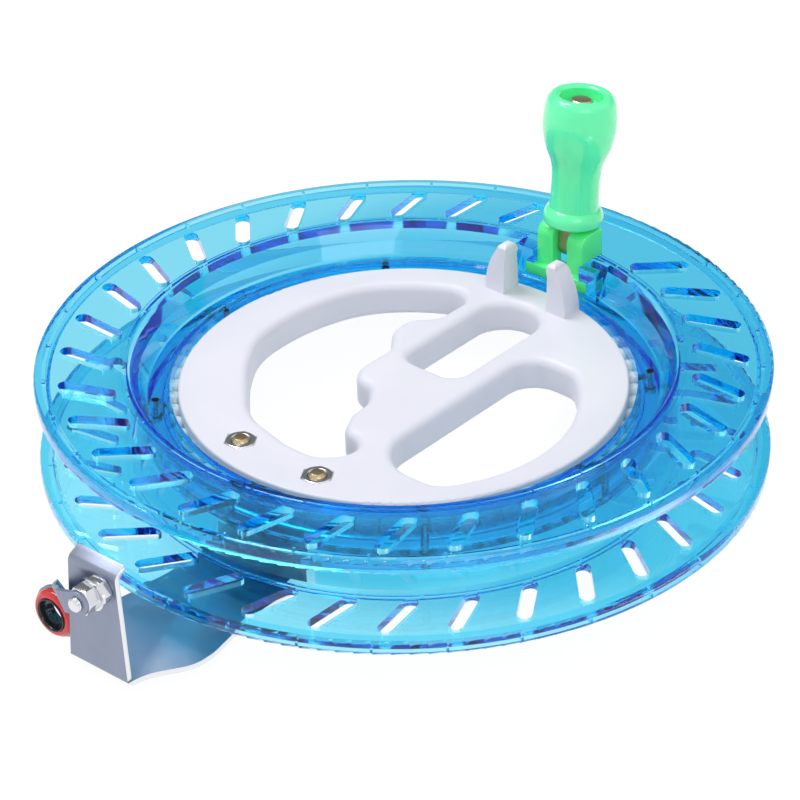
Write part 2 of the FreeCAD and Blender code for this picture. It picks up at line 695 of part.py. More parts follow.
def rounded_wire(points):
    """A closed outline in XY of straight sides with round corners, from (x, y, radius)."""
    edges = []
    ends = []
    count = len(points)
    for index in range(count):
        before = V(points[index - 1][0], points[index - 1][1], 0)
        here = V(points[index][0], points[index][1], 0)
        after = V(points[(index + 1) % count][0], points[(index + 1) % count][1], 0)
        to_before = (before - here).normalize()
        to_after = (after - here).normalize()
        half = to_before.getAngle(to_after) / 2
        room = 0.49 * min((before - here).Length, (after - here).Length)
        reach = min(points[index][2] / math.tan(half), room)
        radius = reach * math.tan(half)
        start = here + to_before * reach
        finish = here + to_after * reach
        inward = (to_before + to_after).normalize()
        middle = here + inward * (radius / math.sin(half) - radius)
        ends.append((start, finish))
        edges.append(Part.Arc(start, middle, finish).toShape())
    for index in range(count):
        edges.append(Part.LineSegment(ends[index][1], ends[(index + 1) % count][0]).toShape())
    return Part.Wire(Part.__sortEdges__(edges))


def prism(wire, low, high):
    """The solid between two heights over a flat outline."""
    face = Part.Face(wire)
    face.translate(V(0, 0, low))
    return face.extrude(V(0, 0, high - low))


# The finger hole's corners. Along the grip bar, from the handle's end to the guide's end, a corner is
# x, y and radius. Round the outer wall and back, it is bearing, distance from the plate's rim and
# radius. A radius is met as far as its sides allow.
GRIP_BAR_CORNERS = (
    (-14.5, 31.8, 6.0), (-20.8, 26.0, 7.0), (-20.1, 18.5, 7.0), (-14.1, 10.8, 7.0), (-14.3, -2.5, 7.0),
    (-11.1, -7.2, 7.0), (-4.9, -7.8, 7.0), (-0.5, -14.5, 7.0), (-0.2, -21.5, 8.0), (3.7, -29.2, 7.0),
    (9.2, -29.8, 5.0), (12.6, -33.0, 5.0), (11.6, -38.4, 6.0),
)
OUTER_WALL_CORNERS = (
    (278.69, 17.66, 8.0), (265.37, 18.02, 20.0), (241.64, 17.15, 20.0), (209.65, 18.10, 60.0),
    (189.22, 13.95, 60.0), (165.17, 12.12, 60.0), (144.05, 9.23, 60.0), (125.64, 9.19, 60.0),
    (105.85, 9.38, 7.0),
)
THUMB_HOLE_NEAR_ROUNDING = 5.0
THUMB_HOLE_FAR_ROUNDING = 9.3
PALM_HOLE_NEAR_ROUNDING = 13.5
PALM_HOLE_ROUNDING = 8.0
PALM_ARC_CENTRE = (5.9, -4.5)


def finger_hole(low, high):
    """The big hole for four fingers: the wavy grip bar, a near wall and a curved outer wall."""
    outline = list(GRIP_BAR_CORNERS)
    for bearing, wall, radius in OUTER_WALL_CORNERS:
        reach = plate_radius.value - wall
        bearing = math.radians(bearing)
        outline.append((reach * math.cos(bearing), reach * math.sin(bearing), radius))
    return prism(rounded_wire(outline), low, high)


def thumb_hole(low, high):
    """The middle hole, which the folded knob also dips into."""
    left, right = num("thumb_hole_left"), num("thumb_hole_right")
    near, far = num("thumb_hole_near"), thumb_hole_far.value
    outline = [(left, near, THUMB_HOLE_NEAR_ROUNDING), (right, near, THUMB_HOLE_NEAR_ROUNDING),
               (right, far, THUMB_HOLE_FAR_ROUNDING), (left, far, THUMB_HOLE_FAR_ROUNDING)]
    return prism(rounded_wire(outline), low, high)


def palm_hole(low, high):
    """The D-shaped hole: a straight wall at the grip bar and a curved one along the rim."""
    left, near, far = num("palm_hole_left"), num("palm_hole_near"), num("palm_hole_far")
    radius = palm_hole_radius.value
    centre = V(PALM_ARC_CENTRE[0], PALM_ARC_CENTRE[1], low)
    block = Part.makeBox(radius + centre.x - left, far - near, high - low, V(left, near, low))
    solid = Part.makeCylinder(radius, high - low, centre).common(block)
    near_end = centre.x + math.sqrt(radius ** 2 - (near - centre.y) ** 2)
    far_end = centre.x + math.sqrt(radius ** 2 - (far - centre.y) ** 2)
    for x, y, rounding in ((left, near, PALM_HOLE_NEAR_ROUNDING), (left, far, PALM_HOLE_ROUNDING),
                           (near_end, near, PALM_HOLE_ROUNDING), (far_end, far, PALM_HOLE_ROUNDING)):
        uprights = [edge for edge in solid.Edges if is_upright(edge)]
        nearest = min(uprights, key=lambda edge: math.hypot(edge.Vertexes[0].X - x, edge.Vertexes[0].Y - y))
        solid = solid.makeFillet(rounding, [nearest])
    return solid


def horn_solid(side):
    """One horn: upright inside with a catch under its tip, curved outside, its top sloping back."""
    foot = num("plate_top") - num("hole_rounding")
    tip = num("horn_top")
    inner = horn_half_gap.value
    recessed = inner + num("horn_recess")
    catch = tip - num("horn_catch_drop")
    tip_radius = num("horn_tip_radius")
    outer = num("horn_foot_half_width")
    tip_outer = inner + tip_radius * 2
    waist_height = (foot + tip) / 2
    waist = (outer + tip_outer) / 2 + tip_radius
    near, far = horn_near.value, horn_far.value
    top_near = near + num("horn_near_lean")
    top_far = far - num("horn_far_lean")
    peak = (top_near + top_far) / 2

    def front(x, z):
        return V(x * side, near - 1, z)

    fin = Part.Wire([
        Part.LineSegment(front(recessed, foot), front(recessed, catch - num("horn_recess"))).toShape(),
        Part.LineSegment(front(recessed, catch - num("horn_recess")), front(inner, catch)).toShape(),
        Part.LineSegment(front(inner, catch), front(inner, tip - tip_radius)).toShape(),
        Part.Arc(front(inner, tip - tip_radius), front(inner + tip_radius, tip),
                 front(tip_outer, tip - tip_radius)).toShape(),
        Part.Arc(front(tip_outer, tip - tip_radius), front(waist, waist_height), front(outer, foot)).toShape(),
        Part.LineSegment(front(outer, foot), front(recessed, foot)).toShape(),
    ])

    def flank(y, z):
        return V((inner - 1) * side, y, z)

    profile = Part.Wire([
        Part.LineSegment(flank(near, foot), flank(top_near, tip - num("horn_front_drop"))).toShape(),
        Part.Arc(flank(top_near, tip - num("horn_front_drop")), flank(peak, tip),
                 flank(top_far, tip - num("horn_back_drop"))).toShape(),
        Part.LineSegment(flank(top_far, tip - num("horn_back_drop")), flank(far, foot)).toShape(),
        Part.LineSegment(flank(far, foot), flank(near, foot)).toShape(),
    ])
    across = Part.Face(fin).extrude(V(0, far - near + 2, 0))
    along = Part.Face(profile).extrude(V((outer - inner + 2) * side, 0, 0))
    return across.common(along)


def make_plate():
    s = sheet
    bottom = s.plate_top - s.plate_thickness
    low = bottom.value - 1
    high = num("plate_top") + 1
    slab = cylinder("plate_slab", plate_radius, s.plate_thickness, 0, 0, bottom)
    holes = shape("hand_holes", Part.makeCompound([finger_hole(low, high), thumb_hole(low, high),
                                                   palm_hole(low, high)]))
    pierced = cut("plate_pierced", slab, holes)

    rim = plate_radius.value
    top_height = num("plate_top")
    bottom_height = bottom.value

    def flat_at(edge, height):
        bounds = edge.BoundBox
        return abs(bounds.ZMin - height) < 0.01 and abs(bounds.ZMax - height) < 0.01

    def on_rim(edge):
        return is_ring(edge, rim, top_height) or is_ring(edge, rim, bottom_height)

    over = rounded("plate_over", pierced, s.hole_rounding,
                   lambda edge: flat_at(edge, top_height) and not on_rim(edge))
    under = rounded("plate_under", over, s.hole_under_rounding,
                    lambda edge: flat_at(edge, bottom_height) and not on_rim(edge))
    edged = rounded("plate_edged", under, s.plate_edge_rounding, on_rim)
    horns = [shape("horn_right", horn_solid(1)), shape("horn_left", horn_solid(-1))]
    horned = fuse("plate_horned", [edged] + horns)

    race = doc.addObject("Part::Torus", "plate_race")
    bind(race, "Radius1", s.ball_circle_radius)
    bind(race, "Radius2", s.ball_diameter / 2 + s.race_clearance)
    result = cut("plate_grooved", horned, race)
    for index, side in enumerate((-1, 1), start=1):
        x = s.arm_bolt_half_spacing * side
        bore = cylinder("plate_bore_%d" % index, s.arm_bolt_hole / 2, s.plate_thickness + 2,
                        x, -arm_bolt_place, bottom - 1)
        result = cut("plate_bored_%d" % index, result, bore)
        seat_floor = s.plate_top + s.arm_nut_proud - s.arm_nut_height
        seat = hexagon("nut_seat_%d" % index, s.arm_bolt_flats + s.arm_nut_play * 2, s.arm_nut_height + 1,
                       x, -arm_bolt_place, seat_floor)
        name = "grip_plate" if index == 2 else "plate_seated"
        result = cut(name, result, seat)
    return [result]


# --- guide arm and its fasteners ----------------------------------------------------------------

def bent_wire(points, radius):
    """An open path of straight runs joined by tangent arcs."""
    edges = []
    start = points[0]
    for index in range(1, len(points) - 1):
        here = points[index]
        to_before = (points[index - 1] - here).normalize()
        to_after = (points[index + 1] - here).normalize()
        half = to_before.getAngle(to_after) / 2
        reach = radius / math.tan(half)
        enter = here + to_before * reach
        leave = here + to_after * reach
        middle = here + (to_before + to_after).normalize() * (radius / math.sin(half) - radius)
        edges.append(Part.LineSegment(start, enter).toShape())
        edges.append(Part.Arc(enter, middle, leave).toShape())
        start = leave
    edges.append(Part.LineSegment(start, points[-1]).toShape())
    return Part.Wire(edges)


def arm_strip():
    """The arm's sheet before its sides are trimmed: one bent strip of full width."""
    half = num("sheet_thickness") / 2
    tab = num("plate_top") - num("plate_thickness") - half
    floor = -num("arm_bottom") + half
    riser = -arm_riser.value + half
    upright = -arm_reach.value + half
    shoulder = -num("arm_bottom") + num("upright_height")
    path = bent_wire([
        V(0, -arm_tab_start.value, tab), V(0, riser, tab), V(0, riser, floor), V(0, upright, floor),
        V(0, upright, shoulder), V(0, upright + num("upright_lip_back"), shoulder + num("upright_lip_rise")),
    ], num("arm_bend_radius"))
    wide = num("arm_tab_half_width") + 1
    start = -arm_tab_start.value
    profile = Part.makePolygon([V(-wide, start, tab - half), V(wide, start, tab - half),
                                V(wide, start, tab + half), V(-wide, start, tab + half),
                                V(-wide, start, tab - half)])
    return path.makePipeShell([profile], True, True)


def arm_plan(low, high):
    """The arm's outline from above: widest at the plate and past the rim, narrow at the upright."""
    tab, waist = num("arm_tab_half_width"), num("arm_half_width")
    belly, foot = num("arm_belly_half_width"), num("upright_foot_half_width")
    start, riser, reach = arm_tab_start.value, arm_riser.value, arm_reach.value
    widest = arm_belly_place.value
    shoulder_far = (reach - widest) * 0.3 + widest
    shoulder_near = reach - (reach - widest) * 0.24
    side = [(tab, -start, 4.0), (tab, -riser + 3.0, 3.0), (waist, -riser - 1.0, 4.0),
            (waist, -widest + 16.0, 30.0), (belly, -widest, 14.0), (belly, -shoulder_far, 12.0),
            (foot + 1.0, -shoulder_near, 14.0), (foot, -reach - 2, 0.5)]
    mirrored = [(-x, y, radius) for x, y, radius in reversed(side)]
    return prism(rounded_wire(side + mirrored), low, high)


def upright_trim():
    """What is cut from the upright to taper it and round its upper corners."""
    foot, top = num("upright_foot_half_width"), num("upright_top_half_width")
    low = -num("arm_bottom") + num("arm_bend_radius")
    high = -num("arm_bottom") + num("upright_height") + num("upright_lip_rise") + num("sheet_thickness")
    wide = foot + 3
    near = -arm_reach.value - 3
    depth = num("upright_lip_back") + 8
    keep = rounded_wire([(-foot, low, 0.4), (foot, low, 0.4), (top, high, 2.2), (-top, high, 2.2)])
    keep.rotate(V(0, 0, 0), X_AXIS, 90)
    keep.translate(V(0, near, 0))
    kept = Part.Face(keep).extrude(V(0, depth, 0))
    around_it = Part.makeBox(2 * wide, depth, high + 3 - low, V(-wide, near, low))
    return around_it.cut(kept)


def make_arm():
    s = sheet
    strip = shape("arm_strip", arm_strip())
    plan = shape("arm_plan", arm_plan(-num("arm_bottom") - 2, num("upright_height")))
    trimmed = doc.addObject("Part::Common", "arm_trimmed")
    trimmed.Base = strip
    trimmed.Tool = plan
    result = cut("arm_tapered", trimmed, shape("arm_offcuts", upright_trim()))
    bottom = s.plate_top - s.plate_thickness
    for index, side in enumerate((-1, 1), start=1):
        hole = cylinder("arm_hole_%d" % index, s.arm_bolt_hole / 2, s.sheet_thickness + 2,
                        s.arm_bolt_half_spacing * side, -arm_bolt_place, bottom - s.sheet_thickness - 1)
        result = cut("arm_bored_%d" % index, result, hole)
    guide_hole = cylinder("guide_hole", s.guide_bolt_diameter / 2, s.sheet_thickness + 2,
                          s.guide_bolt_offset, s.sheet_thickness + 1 - arm_reach, s.guide_bolt_height,
                          OUTWARD)
    return [cut("guide_arm", result, guide_hole)]


def tapered_end(name, radius, end_radius, height, x, y, z, turn=None):
    """The tapered end of a bolt."""
    taper = doc.addObject("Part::Cone", name)
    bind(taper, "Radius1", radius)
    bind(taper, "Radius2", end_radius)
    bind(taper, "Height", height)
    place(taper, x, y, z, turn)
    return taper


def ring(name, outer, inner, height, x, y, z, turn=None, hexagonal=False):
    """A nut or washer: a disc or hexagon with a bore, standing on its place."""
    if hexagonal:
        body = hexagon(name + "_body", outer, height, x, y, z, turn)
    else:
        body = cylinder(name + "_body", outer, height, x, y, z, turn)
    bore = cylinder(name + "_bore", inner, height, x, y, z, turn)
    return cut(name, body, bore)


def make_arm_fasteners():
    s = sheet
    tab_under = s.plate_top - s.plate_thickness - s.sheet_thickness
    washer_under = tab_under - s.arm_washer_thickness
    nut_top = s.plate_top + s.arm_nut_proud
    nut_bottom = nut_top - s.arm_nut_height
    radius = s.arm_bolt_diameter / 2
    bolts, nuts, washers = [], [], []
    for index, side in enumerate((-1, 1), start=1):
        x = s.arm_bolt_half_spacing * side
        y = -arm_bolt_place
        shank = cylinder("arm_bolt_shank_%d" % index, radius, nut_top - washer_under, x, y, washer_under)
        head = hexagon("arm_bolt_head_%d" % index, s.arm_bolt_flats, s.arm_bolt_head_height,
                       x, y, washer_under - s.arm_bolt_head_height)
        end = tapered_end("arm_bolt_end_%d" % index, radius, radius * 0.6, s.arm_bolt_dome, x, y, nut_top)
        bolts.append(fuse("arm_bolt_%d" % index, [shank, head, end]))
        nuts.append(ring("arm_nut_%d" % index, s.arm_bolt_flats, radius, s.arm_nut_height,
                         x, y, nut_bottom, hexagonal=True))
        washers.append(ring("arm_washer_%d" % index, s.arm_washer_diameter / 2, radius,
                            s.arm_washer_thickness, x, y, washer_under))
    return [group("arm_bolts", bolts), group("arm_nuts", nuts), group("arm_washers", washers)]


# --- line guide ---------------------------------------------------------------------------------

def make_guide_stack():
    """Guide bolt with its two nuts and the washer between them, outward from the upright."""
    s = sheet
    x = s.guide_bolt_offset
    z = s.guide_bolt_height
    washer_at = arm_reach + s.guide_nut_height
    outer_nut_at = washer_at + s.guide_washer_thickness
    bolt_to = outer_nut_at + s.guide_outer_nut_height + s.frame_sheet + s.guide_bolt_end
    shank_from = arm_reach - s.sheet_thickness
    radius = s.guide_bolt_diameter / 2

    head = cylinder("guide_bolt_head", s.guide_bolt_head / 2, s.guide_bolt_head_height,
                    x, s.guide_bolt_head_height - shank_from, z, OUTWARD)
    shank = cylinder("guide_bolt_shank", radius, bolt_to - shank_from, x, -shank_from, z, OUTWARD)
    end = tapered_end("guide_bolt_end_taper", radius, radius - s.guide_bolt_chamfer, s.guide_bolt_chamfer,
                      x, -bolt_to, z, OUTWARD)
    return [
        fuse("guide_bolt", [head, shank, end]),
        ring("guide_spacer_nut", s.guide_nut_flats, radius, s.guide_nut_height, x, -arm_reach, z,
             OUTWARD, hexagonal=True),
        ring("guide_washer", s.guide_washer_diameter / 2, radius, s.guide_washer_thickness,
             x, -washer_at, z, OUTWARD),
        ring("guide_outer_nut", s.guide_nut_flats, radius, s.guide_outer_nut_height, x, -outer_nut_at, z,
             OUTWARD, hexagonal=True),
    ]


NECK_STATIONS = 14
NECK_WAIST_AT = 0.4     # share of the neck's run, from the ring, at which it is narrowest


def neck_half_width(share):
    """Full width at the ring, the waist, then two thirds of the way back to full width at the eye."""
    full, waist = num("frame_neck_width") / 2, num("frame_waist_width") / 2
    if share < NECK_WAIST_AT:
        return waist + (full - waist) * (1 - share / NECK_WAIST_AT) ** 2
    beyond = (share - NECK_WAIST_AT) / (1 - NECK_WAIST_AT)
    return waist + (full - waist) * (1 - math.cos(math.pi * beyond)) / 3


def frame_neck(eye, ring_centre):
    """The bent strip from the ring to the eye: forward beside the upright, then across its front."""
    half_sheet = num("frame_sheet") / 2
    front = -arm_reach.value
    edge = -num("upright_foot_half_width")
    start = ring_centre + V(0.8, 0, 3.5)
    leave = ring_centre + V(2.4, 0, 6.9)
    arrive = eye - V(4.4, 0, 1.3)
    route = Part.BSplineCurve()
    route.interpolate(
        Points=[leave, V(edge - 2.9, front + 0.7, eye.z - 9.0), V(edge - 0.8, front - 1.9, eye.z - 7.0),
                V(edge + 4.6, front - 5.6, eye.z - 3.8), arrive],
        InitialTangent=(leave - start).normalize() * 4, FinalTangent=(eye - arrive).normalize() * 4)
    first, last = route.FirstParameter, route.LastParameter
    stations = [(start, (leave - start).normalize(), 0.0)]
    for index in range(NECK_STATIONS + 1):
        share = index / NECK_STATIONS
        place_on = first + (last - first) * share
        stations.append((route.value(place_on), route.tangent(place_on)[0], share))
    stations.append((eye - V(1, 0, 0.3), (eye - arrive).normalize(), 1.0))
    wires = []
    for centre, along, share in stations:
        side = along.cross(-Y_AXIS).normalize()
        outward = side.cross(along).normalize() * half_sheet
        side = side * neck_half_width(share)
        wires.append(Part.makePolygon([centre - side - outward, centre + side - outward,
                                       centre + side + outward, centre - side + outward,
                                       centre - side - outward]))
    return Part.makeLoft(wires, True, True)


def make_frame():
    """The stamped frame that carries the line ring."""
    half = num("frame_sheet") / 2
    stack = num("guide_nut_height") + num("guide_washer_thickness") + num("guide_outer_nut_height")
    eye = V(num("guide_bolt_offset"), -arm_reach.value - stack - half, num("guide_bolt_height"))
    seat = -ring_front.value + num("ring_frame_setback") + half
    centre = V(num("ring_offset"), seat, num("ring_height"))
    eye_disc = Part.makeCylinder(num("frame_eye_radius"), 2 * half, eye + V(0, half, 0), -Y_AXIS)
    ring_disc = Part.makeCylinder(num("ring_frame_radius"), 2 * half, centre + V(0, half, 0), -Y_AXIS)
    solid = eye_disc.fuse([frame_neck(eye, centre), ring_disc])
    bolt_hole = Part.makeCylinder(num("guide_bolt_diameter") / 2, 8, eye + V(0, 4, 0), -Y_AXIS)
    ring_hole = Part.makeCylinder(num("ring_seat_radius"), 8, centre + V(0, 4, 0), -Y_AXIS)
    return [shape("guide_frame", solid.cut([bolt_hole, ring_hole]).removeSplitter())]


def turned_about_line(name, outline):
    """A ring about the line's path, from a closed outline of radius and distance behind the front."""
    body = new_body(name)
    sketch = new_sketch(body, name + "_section", "XZ_Plane")
    corners(sketch, outline)
    turned(body, name + "_revolved", sketch)
    place(body, sheet.ring_offset, -ring_front, sheet.ring_height, (X_AXIS, -90))
    return body


def make_line_ring():
    """The red shock ring, clipped in its frame, and the ceramic insert that the line runs through."""
    s = sheet
    back = s.ring_depth
    frame_from = s.ring_frame_setback
    frame_to = s.ring_frame_setback + s.frame_sheet
    inner = s.insert_radius
    soft = s.ring_edge_rounding
    outline = [(inner, 0), (s.ring_radius - soft, 0), (s.ring_radius, soft), (s.ring_radius, frame_from),
               (s.ring_seat_radius, frame_from), (s.ring_seat_radius, frame_to), (s.ring_radius, frame_to),
               (s.ring_radius, back - soft), (s.ring_radius - soft, back), (inner, back)]
    shock_ring = turned_about_line("guide_shock_ring", outline)

    bore = s.insert_bore_radius
    flare = s.insert_flare
    outline = [(bore + flare, -flare), (inner, -flare), (inner, back + flare), (bore + flare, back + flare),
               (bore, back - flare), (bore, flare)]
    return [shock_ring, turned_about_line("guide_insert", outline)]


# --- folding handle -----------------------------------------------------------------------------

def make_clevis():
    """T-shaped foot and two ears with a slot for the spindle's tang."""
    s = sheet
    floor = s.socket_floor + s.socket_clearance
    foot_top = floor + s.clevis_foot_height
    foot_back = clevis_front + s.clevis_foot_depth
    body = new_body("handle_clevis")
    foot = new_sketch(body, "clevis_foot_outline", "XY_Plane", floor)
    rectangle(foot, s.clevis_foot_half_width, clevis_front, foot_back)
    pad(body, "clevis_foot", foot, s.clevis_foot_height)

    side = new_sketch(body, "clevis_ear_outline", "YZ_Plane", -s.clevis_half_width)
    front = clevis_front + s.clevis_ear_setback
    back = front + s.clevis_ear_depth
    corners(side, [(front, floor + 1), (front, clevis_top), (back, clevis_top),
                   (back, clevis_back_floor), (foot_back, clevis_back_floor), (foot_back, floor + 1)])
    pad(body, "clevis_ears", side, s.clevis_half_width * 2)

    top_z = clevis_top.value

    def crest_at(edge, y):
        bounds = edge.BoundBox
        at_top = abs(bounds.ZMin - top_z) < 0.01 and abs(bounds.ZMax - top_z) < 0.01
        across = bounds.XLength > 1 and bounds.YLength < 0.01
        return at_top and across and abs(bounds.YMin - y) < 0.01

    soften(body, "clevis_front_crest", s.clevis_front_rounding, lambda edge: crest_at(edge, front.value))
    soften(body, "clevis_back_crest", s.clevis_back_rounding, lambda edge: crest_at(edge, back.value))

    gap = new_sketch(body, "clevis_slot_outline", "YZ_Plane", -s.clevis_slot_width / 2)
    gap_floor = foot_top + s.clevis_slot_floor
    corners(gap, [(clevis_front - 1, gap_floor), (clevis_front - 1, clevis_top + 1),
                  (back + 1, clevis_top + 1), (back + 1, gap_floor)])
    pocket(body, "clevis_slot", gap, s.clevis_slot_width, upward=True)

    bore = new_sketch(body, "clevis_bore_outline", "YZ_Plane", -s.clevis_half_width - 1)
    circle(bore, hinge_forward, hinge_height, s.hinge_pin_diameter / 2)
    pocket(body, "clevis_bore", bore, s.clevis_half_width * 2 + 1 - s.hinge_pin_end_wall, upward=True)
    return [body]


def make_hinge_pin():
    s = sheet
    length = s.clevis_half_width * 2 - s.hinge_pin_end_wall
    return [cylinder("hinge_pin", s.hinge_pin_diameter / 2, length,
                     -s.clevis_half_width, hinge_forward, hinge_height, (Y_AXIS, 90))]


def lean_with_handle(body):
    """Puts a piece that is modelled upright over the hinge onto the open, leaning handle."""
    place(body, 0, hinge_forward, hinge_height, (-X_AXIS, 1))
    bind(body, "Placement.Rotation.Angle", sheet.handle_lean)
    return body


def make_spindle():
    """Flat tang on the hinge pin, and above its shoulders the round spindle that the knob turns on."""
    s = sheet
    body = new_body("handle_spindle")
    half = s.clevis_slot_width / 2 - s.tang_play
    reach = hinge_height - clevis_back_floor - s.tang_play
    shoulder = s.collar_start - s.knob_end_play
    tang = new_sketch(body, "tang_outline", "YZ_Plane", -half)
    corners(tang, [(-reach, 0), (reach, 0), (reach, shoulder), (-reach, shoulder)])
    pad(body, "tang", tang, half * 2)
    tip = new_sketch(body, "tang_end_outline", "YZ_Plane", -half)
    circle(tip, 0, 0, reach)
    pad(body, "tang_end", tip, half * 2)

    end = s.knob_floor + s.knob_end_play
    section = new_sketch(body, "spindle_section", "XZ_Plane")
    radius = s.spindle_diameter / 2
    core = s.knob_screw_thread / 2
    well = end - s.knob_screw_length
    foot = shoulder - s.hinge_pin_diameter / 2
    corners(section, [(0, foot), (radius, foot), (radius, end), (core, end), (core, well), (0, well)])
    turned(body, "spindle_turned", section)
    bore = new_sketch(body, "tang_bore_outline", "YZ_Plane", -half - 1)
    circle(bore, 0, 0, s.hinge_pin_diameter / 2 + s.running_clearance)
    pocket(body, "tang_bore", bore, half * 2 + 2, upward=True)
    return [lean_with_handle(body)]


def knob_outline():
    """The knob's outer curve and its bore, as radius and height above the hinge."""
    start = num("collar_start")
    collar_end = start + num("collar_length")
    collar = num("collar_radius")
    neck, neck_at = num("neck_radius"), num("neck_place")
    bulb, bulb_at = num("bulb_radius"), num("bulb_place")
    end, mouth = num("knob_end"), num("knob_mouth_radius")
    floor = num("knob_floor")
    bore = num("spindle_diameter") / 2 + num("running_clearance")
    swell = bulb - neck
    rise = bulb_at - neck_at
    crown = end - bulb_at
    rim_out = mouth + num("knob_rim_width")
    rim_drop = 0.7
    foot = V(collar - 1.2, start, 0)
    foot_out = V(collar - 0.25, start + 0.3, 0)
    belt_low = V(collar, start + 1.0, 0)
    belt_high = V(collar, start + 1.7, 0)
    collar_top = V(neck + 0.75, collar_end, 0)
    flare_low = V(neck + 0.2, collar_end + 0.45, 0)
    flare_high = V(rim_out, end - rim_drop, 0)
    mouth_top = V(mouth, end - 0.8, 0)

    # shares of the rise and of the swell from neck to bulb, then of the crown above the bulb
    swelling = ((0.14, 0.03), (0.25, 0.08), (0.35, 0.17), (0.46, 0.35), (0.57, 0.58), (0.67, 0.75),
                (0.78, 0.87), (0.89, 0.96))
    narrowing = ((0.28, 0.02), (0.47, 0.07), (0.68, 0.15), (0.85, 0.28))
    flare = Part.BSplineCurve()
    flare.interpolate(
        [flare_low, V(neck + 0.03, (collar_end + neck_at) / 2, 0), V(neck, neck_at, 0)]
        + [V(neck + swell * share, neck_at + rise * part, 0) for part, share in swelling]
        + [V(bulb, bulb_at, 0)]
        + [V(bulb - swell * share, bulb_at + crown * part, 0) for part, share in narrowing]
        + [flare_high])
    return [
        Part.LineSegment(V(bore, start, 0), foot),
        Part.Arc(foot, foot_out, belt_low),
        Part.LineSegment(belt_low, belt_high),
        Part.Arc(belt_high, V(collar - 0.28, collar_end - 1.2, 0), collar_top),
        Part.LineSegment(collar_top, flare_low),
        flare,
        Part.Arc(flare_high, V((mouth + rim_out) / 2, end, 0), mouth_top),
        Part.LineSegment(mouth_top, V(mouth, floor, 0)),
        Part.LineSegment(V(mouth, floor, 0), V(bore, floor, 0)),
        Part.LineSegment(V(bore, floor, 0), V(bore, start, 0)),
    ]


def make_knob():
    """The turned knob: collar, waist and bulb with a recess in its end."""
    wire = Part.Wire([curve.toShape() for curve in knob_outline()])
    wire.rotate(V(0, 0, 0), X_AXIS, 90)
    solid = Part.Face(wire).revolve(V(0, 0, 0), Z_AXIS, 360)
    if solid.Volume < 0:
        solid.reverse()
    return [lean_with_handle(shape("handle_knob", solid))]


def make_knob_screw():
    s = sheet
    body = new_body("knob_screw")
    section = new_sketch(body, "knob_screw_section", "XZ_Plane")
    seat = s.knob_floor + s.knob_end_play
    head = s.knob_screw_head / 2
    core = s.knob_screw_thread / 2
    top = seat + s.knob_screw_height
    crown = s.knob_screw_crown
    corners(section, [(0, seat - s.knob_screw_length), (core, seat - s.knob_screw_length), (core, seat),
                      (head, seat), (head, top - crown), (head - crown, top), (0, top)])
    turned(body, "knob_screw_turned", section)
    return [lean_with_handle(body)]


# --- build, check and export --------------------------------------------------------------------

def main():
    nodes = []
    for make in (make_wheel, make_balls, make_plate, make_arm, make_arm_fasteners, make_guide_stack,
                 make_frame, make_line_ring, make_clevis, make_hinge_pin, make_spindle, make_knob,
                 make_knob_screw):
        nodes += make()
    doc.recompute()

    for item in doc.Objects:
        if "Invalid" in item.State or "Error" in item.State:
            raise RuntimeError("%s failed: %s" % (item.Name, item.State))
    for feature in [item for item in doc.Objects if item.TypeId in CUTTERS]:
        if feature.Shape.Volume >= feature.BaseFeature.Shape.Volume:
            raise RuntimeError("%s takes nothing away" % feature.Name)
    for node in nodes:
        node.Label = node.Name
        if node.Shape.isNull() or not node.Shape.isValid():
            raise RuntimeError("%s has no valid shape" % node.Label)
    os.makedirs("parts", exist_ok=True)
    for node in nodes:
        node.Shape.exportStep(os.path.join("parts", node.Label + ".step"))
        bounds = node.Shape.BoundBox
        print("%-18s solids %2d  volume %9.1f  x %.1f..%.1f  y %.1f..%.1f  z %.1f..%.1f" % (
            node.Label, len(node.Shape.Solids), node.Shape.Volume, bounds.XMin, bounds.XMax, bounds.YMin,
            bounds.YMax, bounds.ZMin, bounds.ZMax))


CUTTERS = ("PartDesign::Pocket", "PartDesign::Groove")

main()
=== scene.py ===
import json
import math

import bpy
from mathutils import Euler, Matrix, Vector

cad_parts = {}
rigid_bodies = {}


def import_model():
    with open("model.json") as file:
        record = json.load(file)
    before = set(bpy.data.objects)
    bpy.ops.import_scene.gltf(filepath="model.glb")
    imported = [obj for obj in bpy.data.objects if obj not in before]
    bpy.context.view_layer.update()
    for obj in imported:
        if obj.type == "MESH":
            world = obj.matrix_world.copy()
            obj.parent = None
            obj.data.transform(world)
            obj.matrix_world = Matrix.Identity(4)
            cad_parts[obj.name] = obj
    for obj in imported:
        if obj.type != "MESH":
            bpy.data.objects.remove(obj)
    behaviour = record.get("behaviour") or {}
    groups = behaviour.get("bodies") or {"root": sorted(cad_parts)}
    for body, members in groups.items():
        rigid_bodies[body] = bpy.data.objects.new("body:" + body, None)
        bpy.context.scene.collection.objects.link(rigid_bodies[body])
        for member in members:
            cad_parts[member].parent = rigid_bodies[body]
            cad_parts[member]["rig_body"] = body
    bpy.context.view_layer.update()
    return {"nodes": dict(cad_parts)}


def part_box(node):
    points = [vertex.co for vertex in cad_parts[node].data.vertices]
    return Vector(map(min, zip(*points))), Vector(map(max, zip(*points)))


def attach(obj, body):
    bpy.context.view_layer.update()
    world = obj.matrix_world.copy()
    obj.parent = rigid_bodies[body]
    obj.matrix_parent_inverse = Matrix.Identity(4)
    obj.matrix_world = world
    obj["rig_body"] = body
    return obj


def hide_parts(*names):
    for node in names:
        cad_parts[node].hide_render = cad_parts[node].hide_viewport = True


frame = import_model()

# %% [markdown]
# The winder's solids come from its CAD model, in metres and at their true sizes and places. This lesson
# gives each of them its real finish.

MM = 0.001                  # metres in a millimetre
scene = bpy.context.scene
nodes = frame["nodes"]

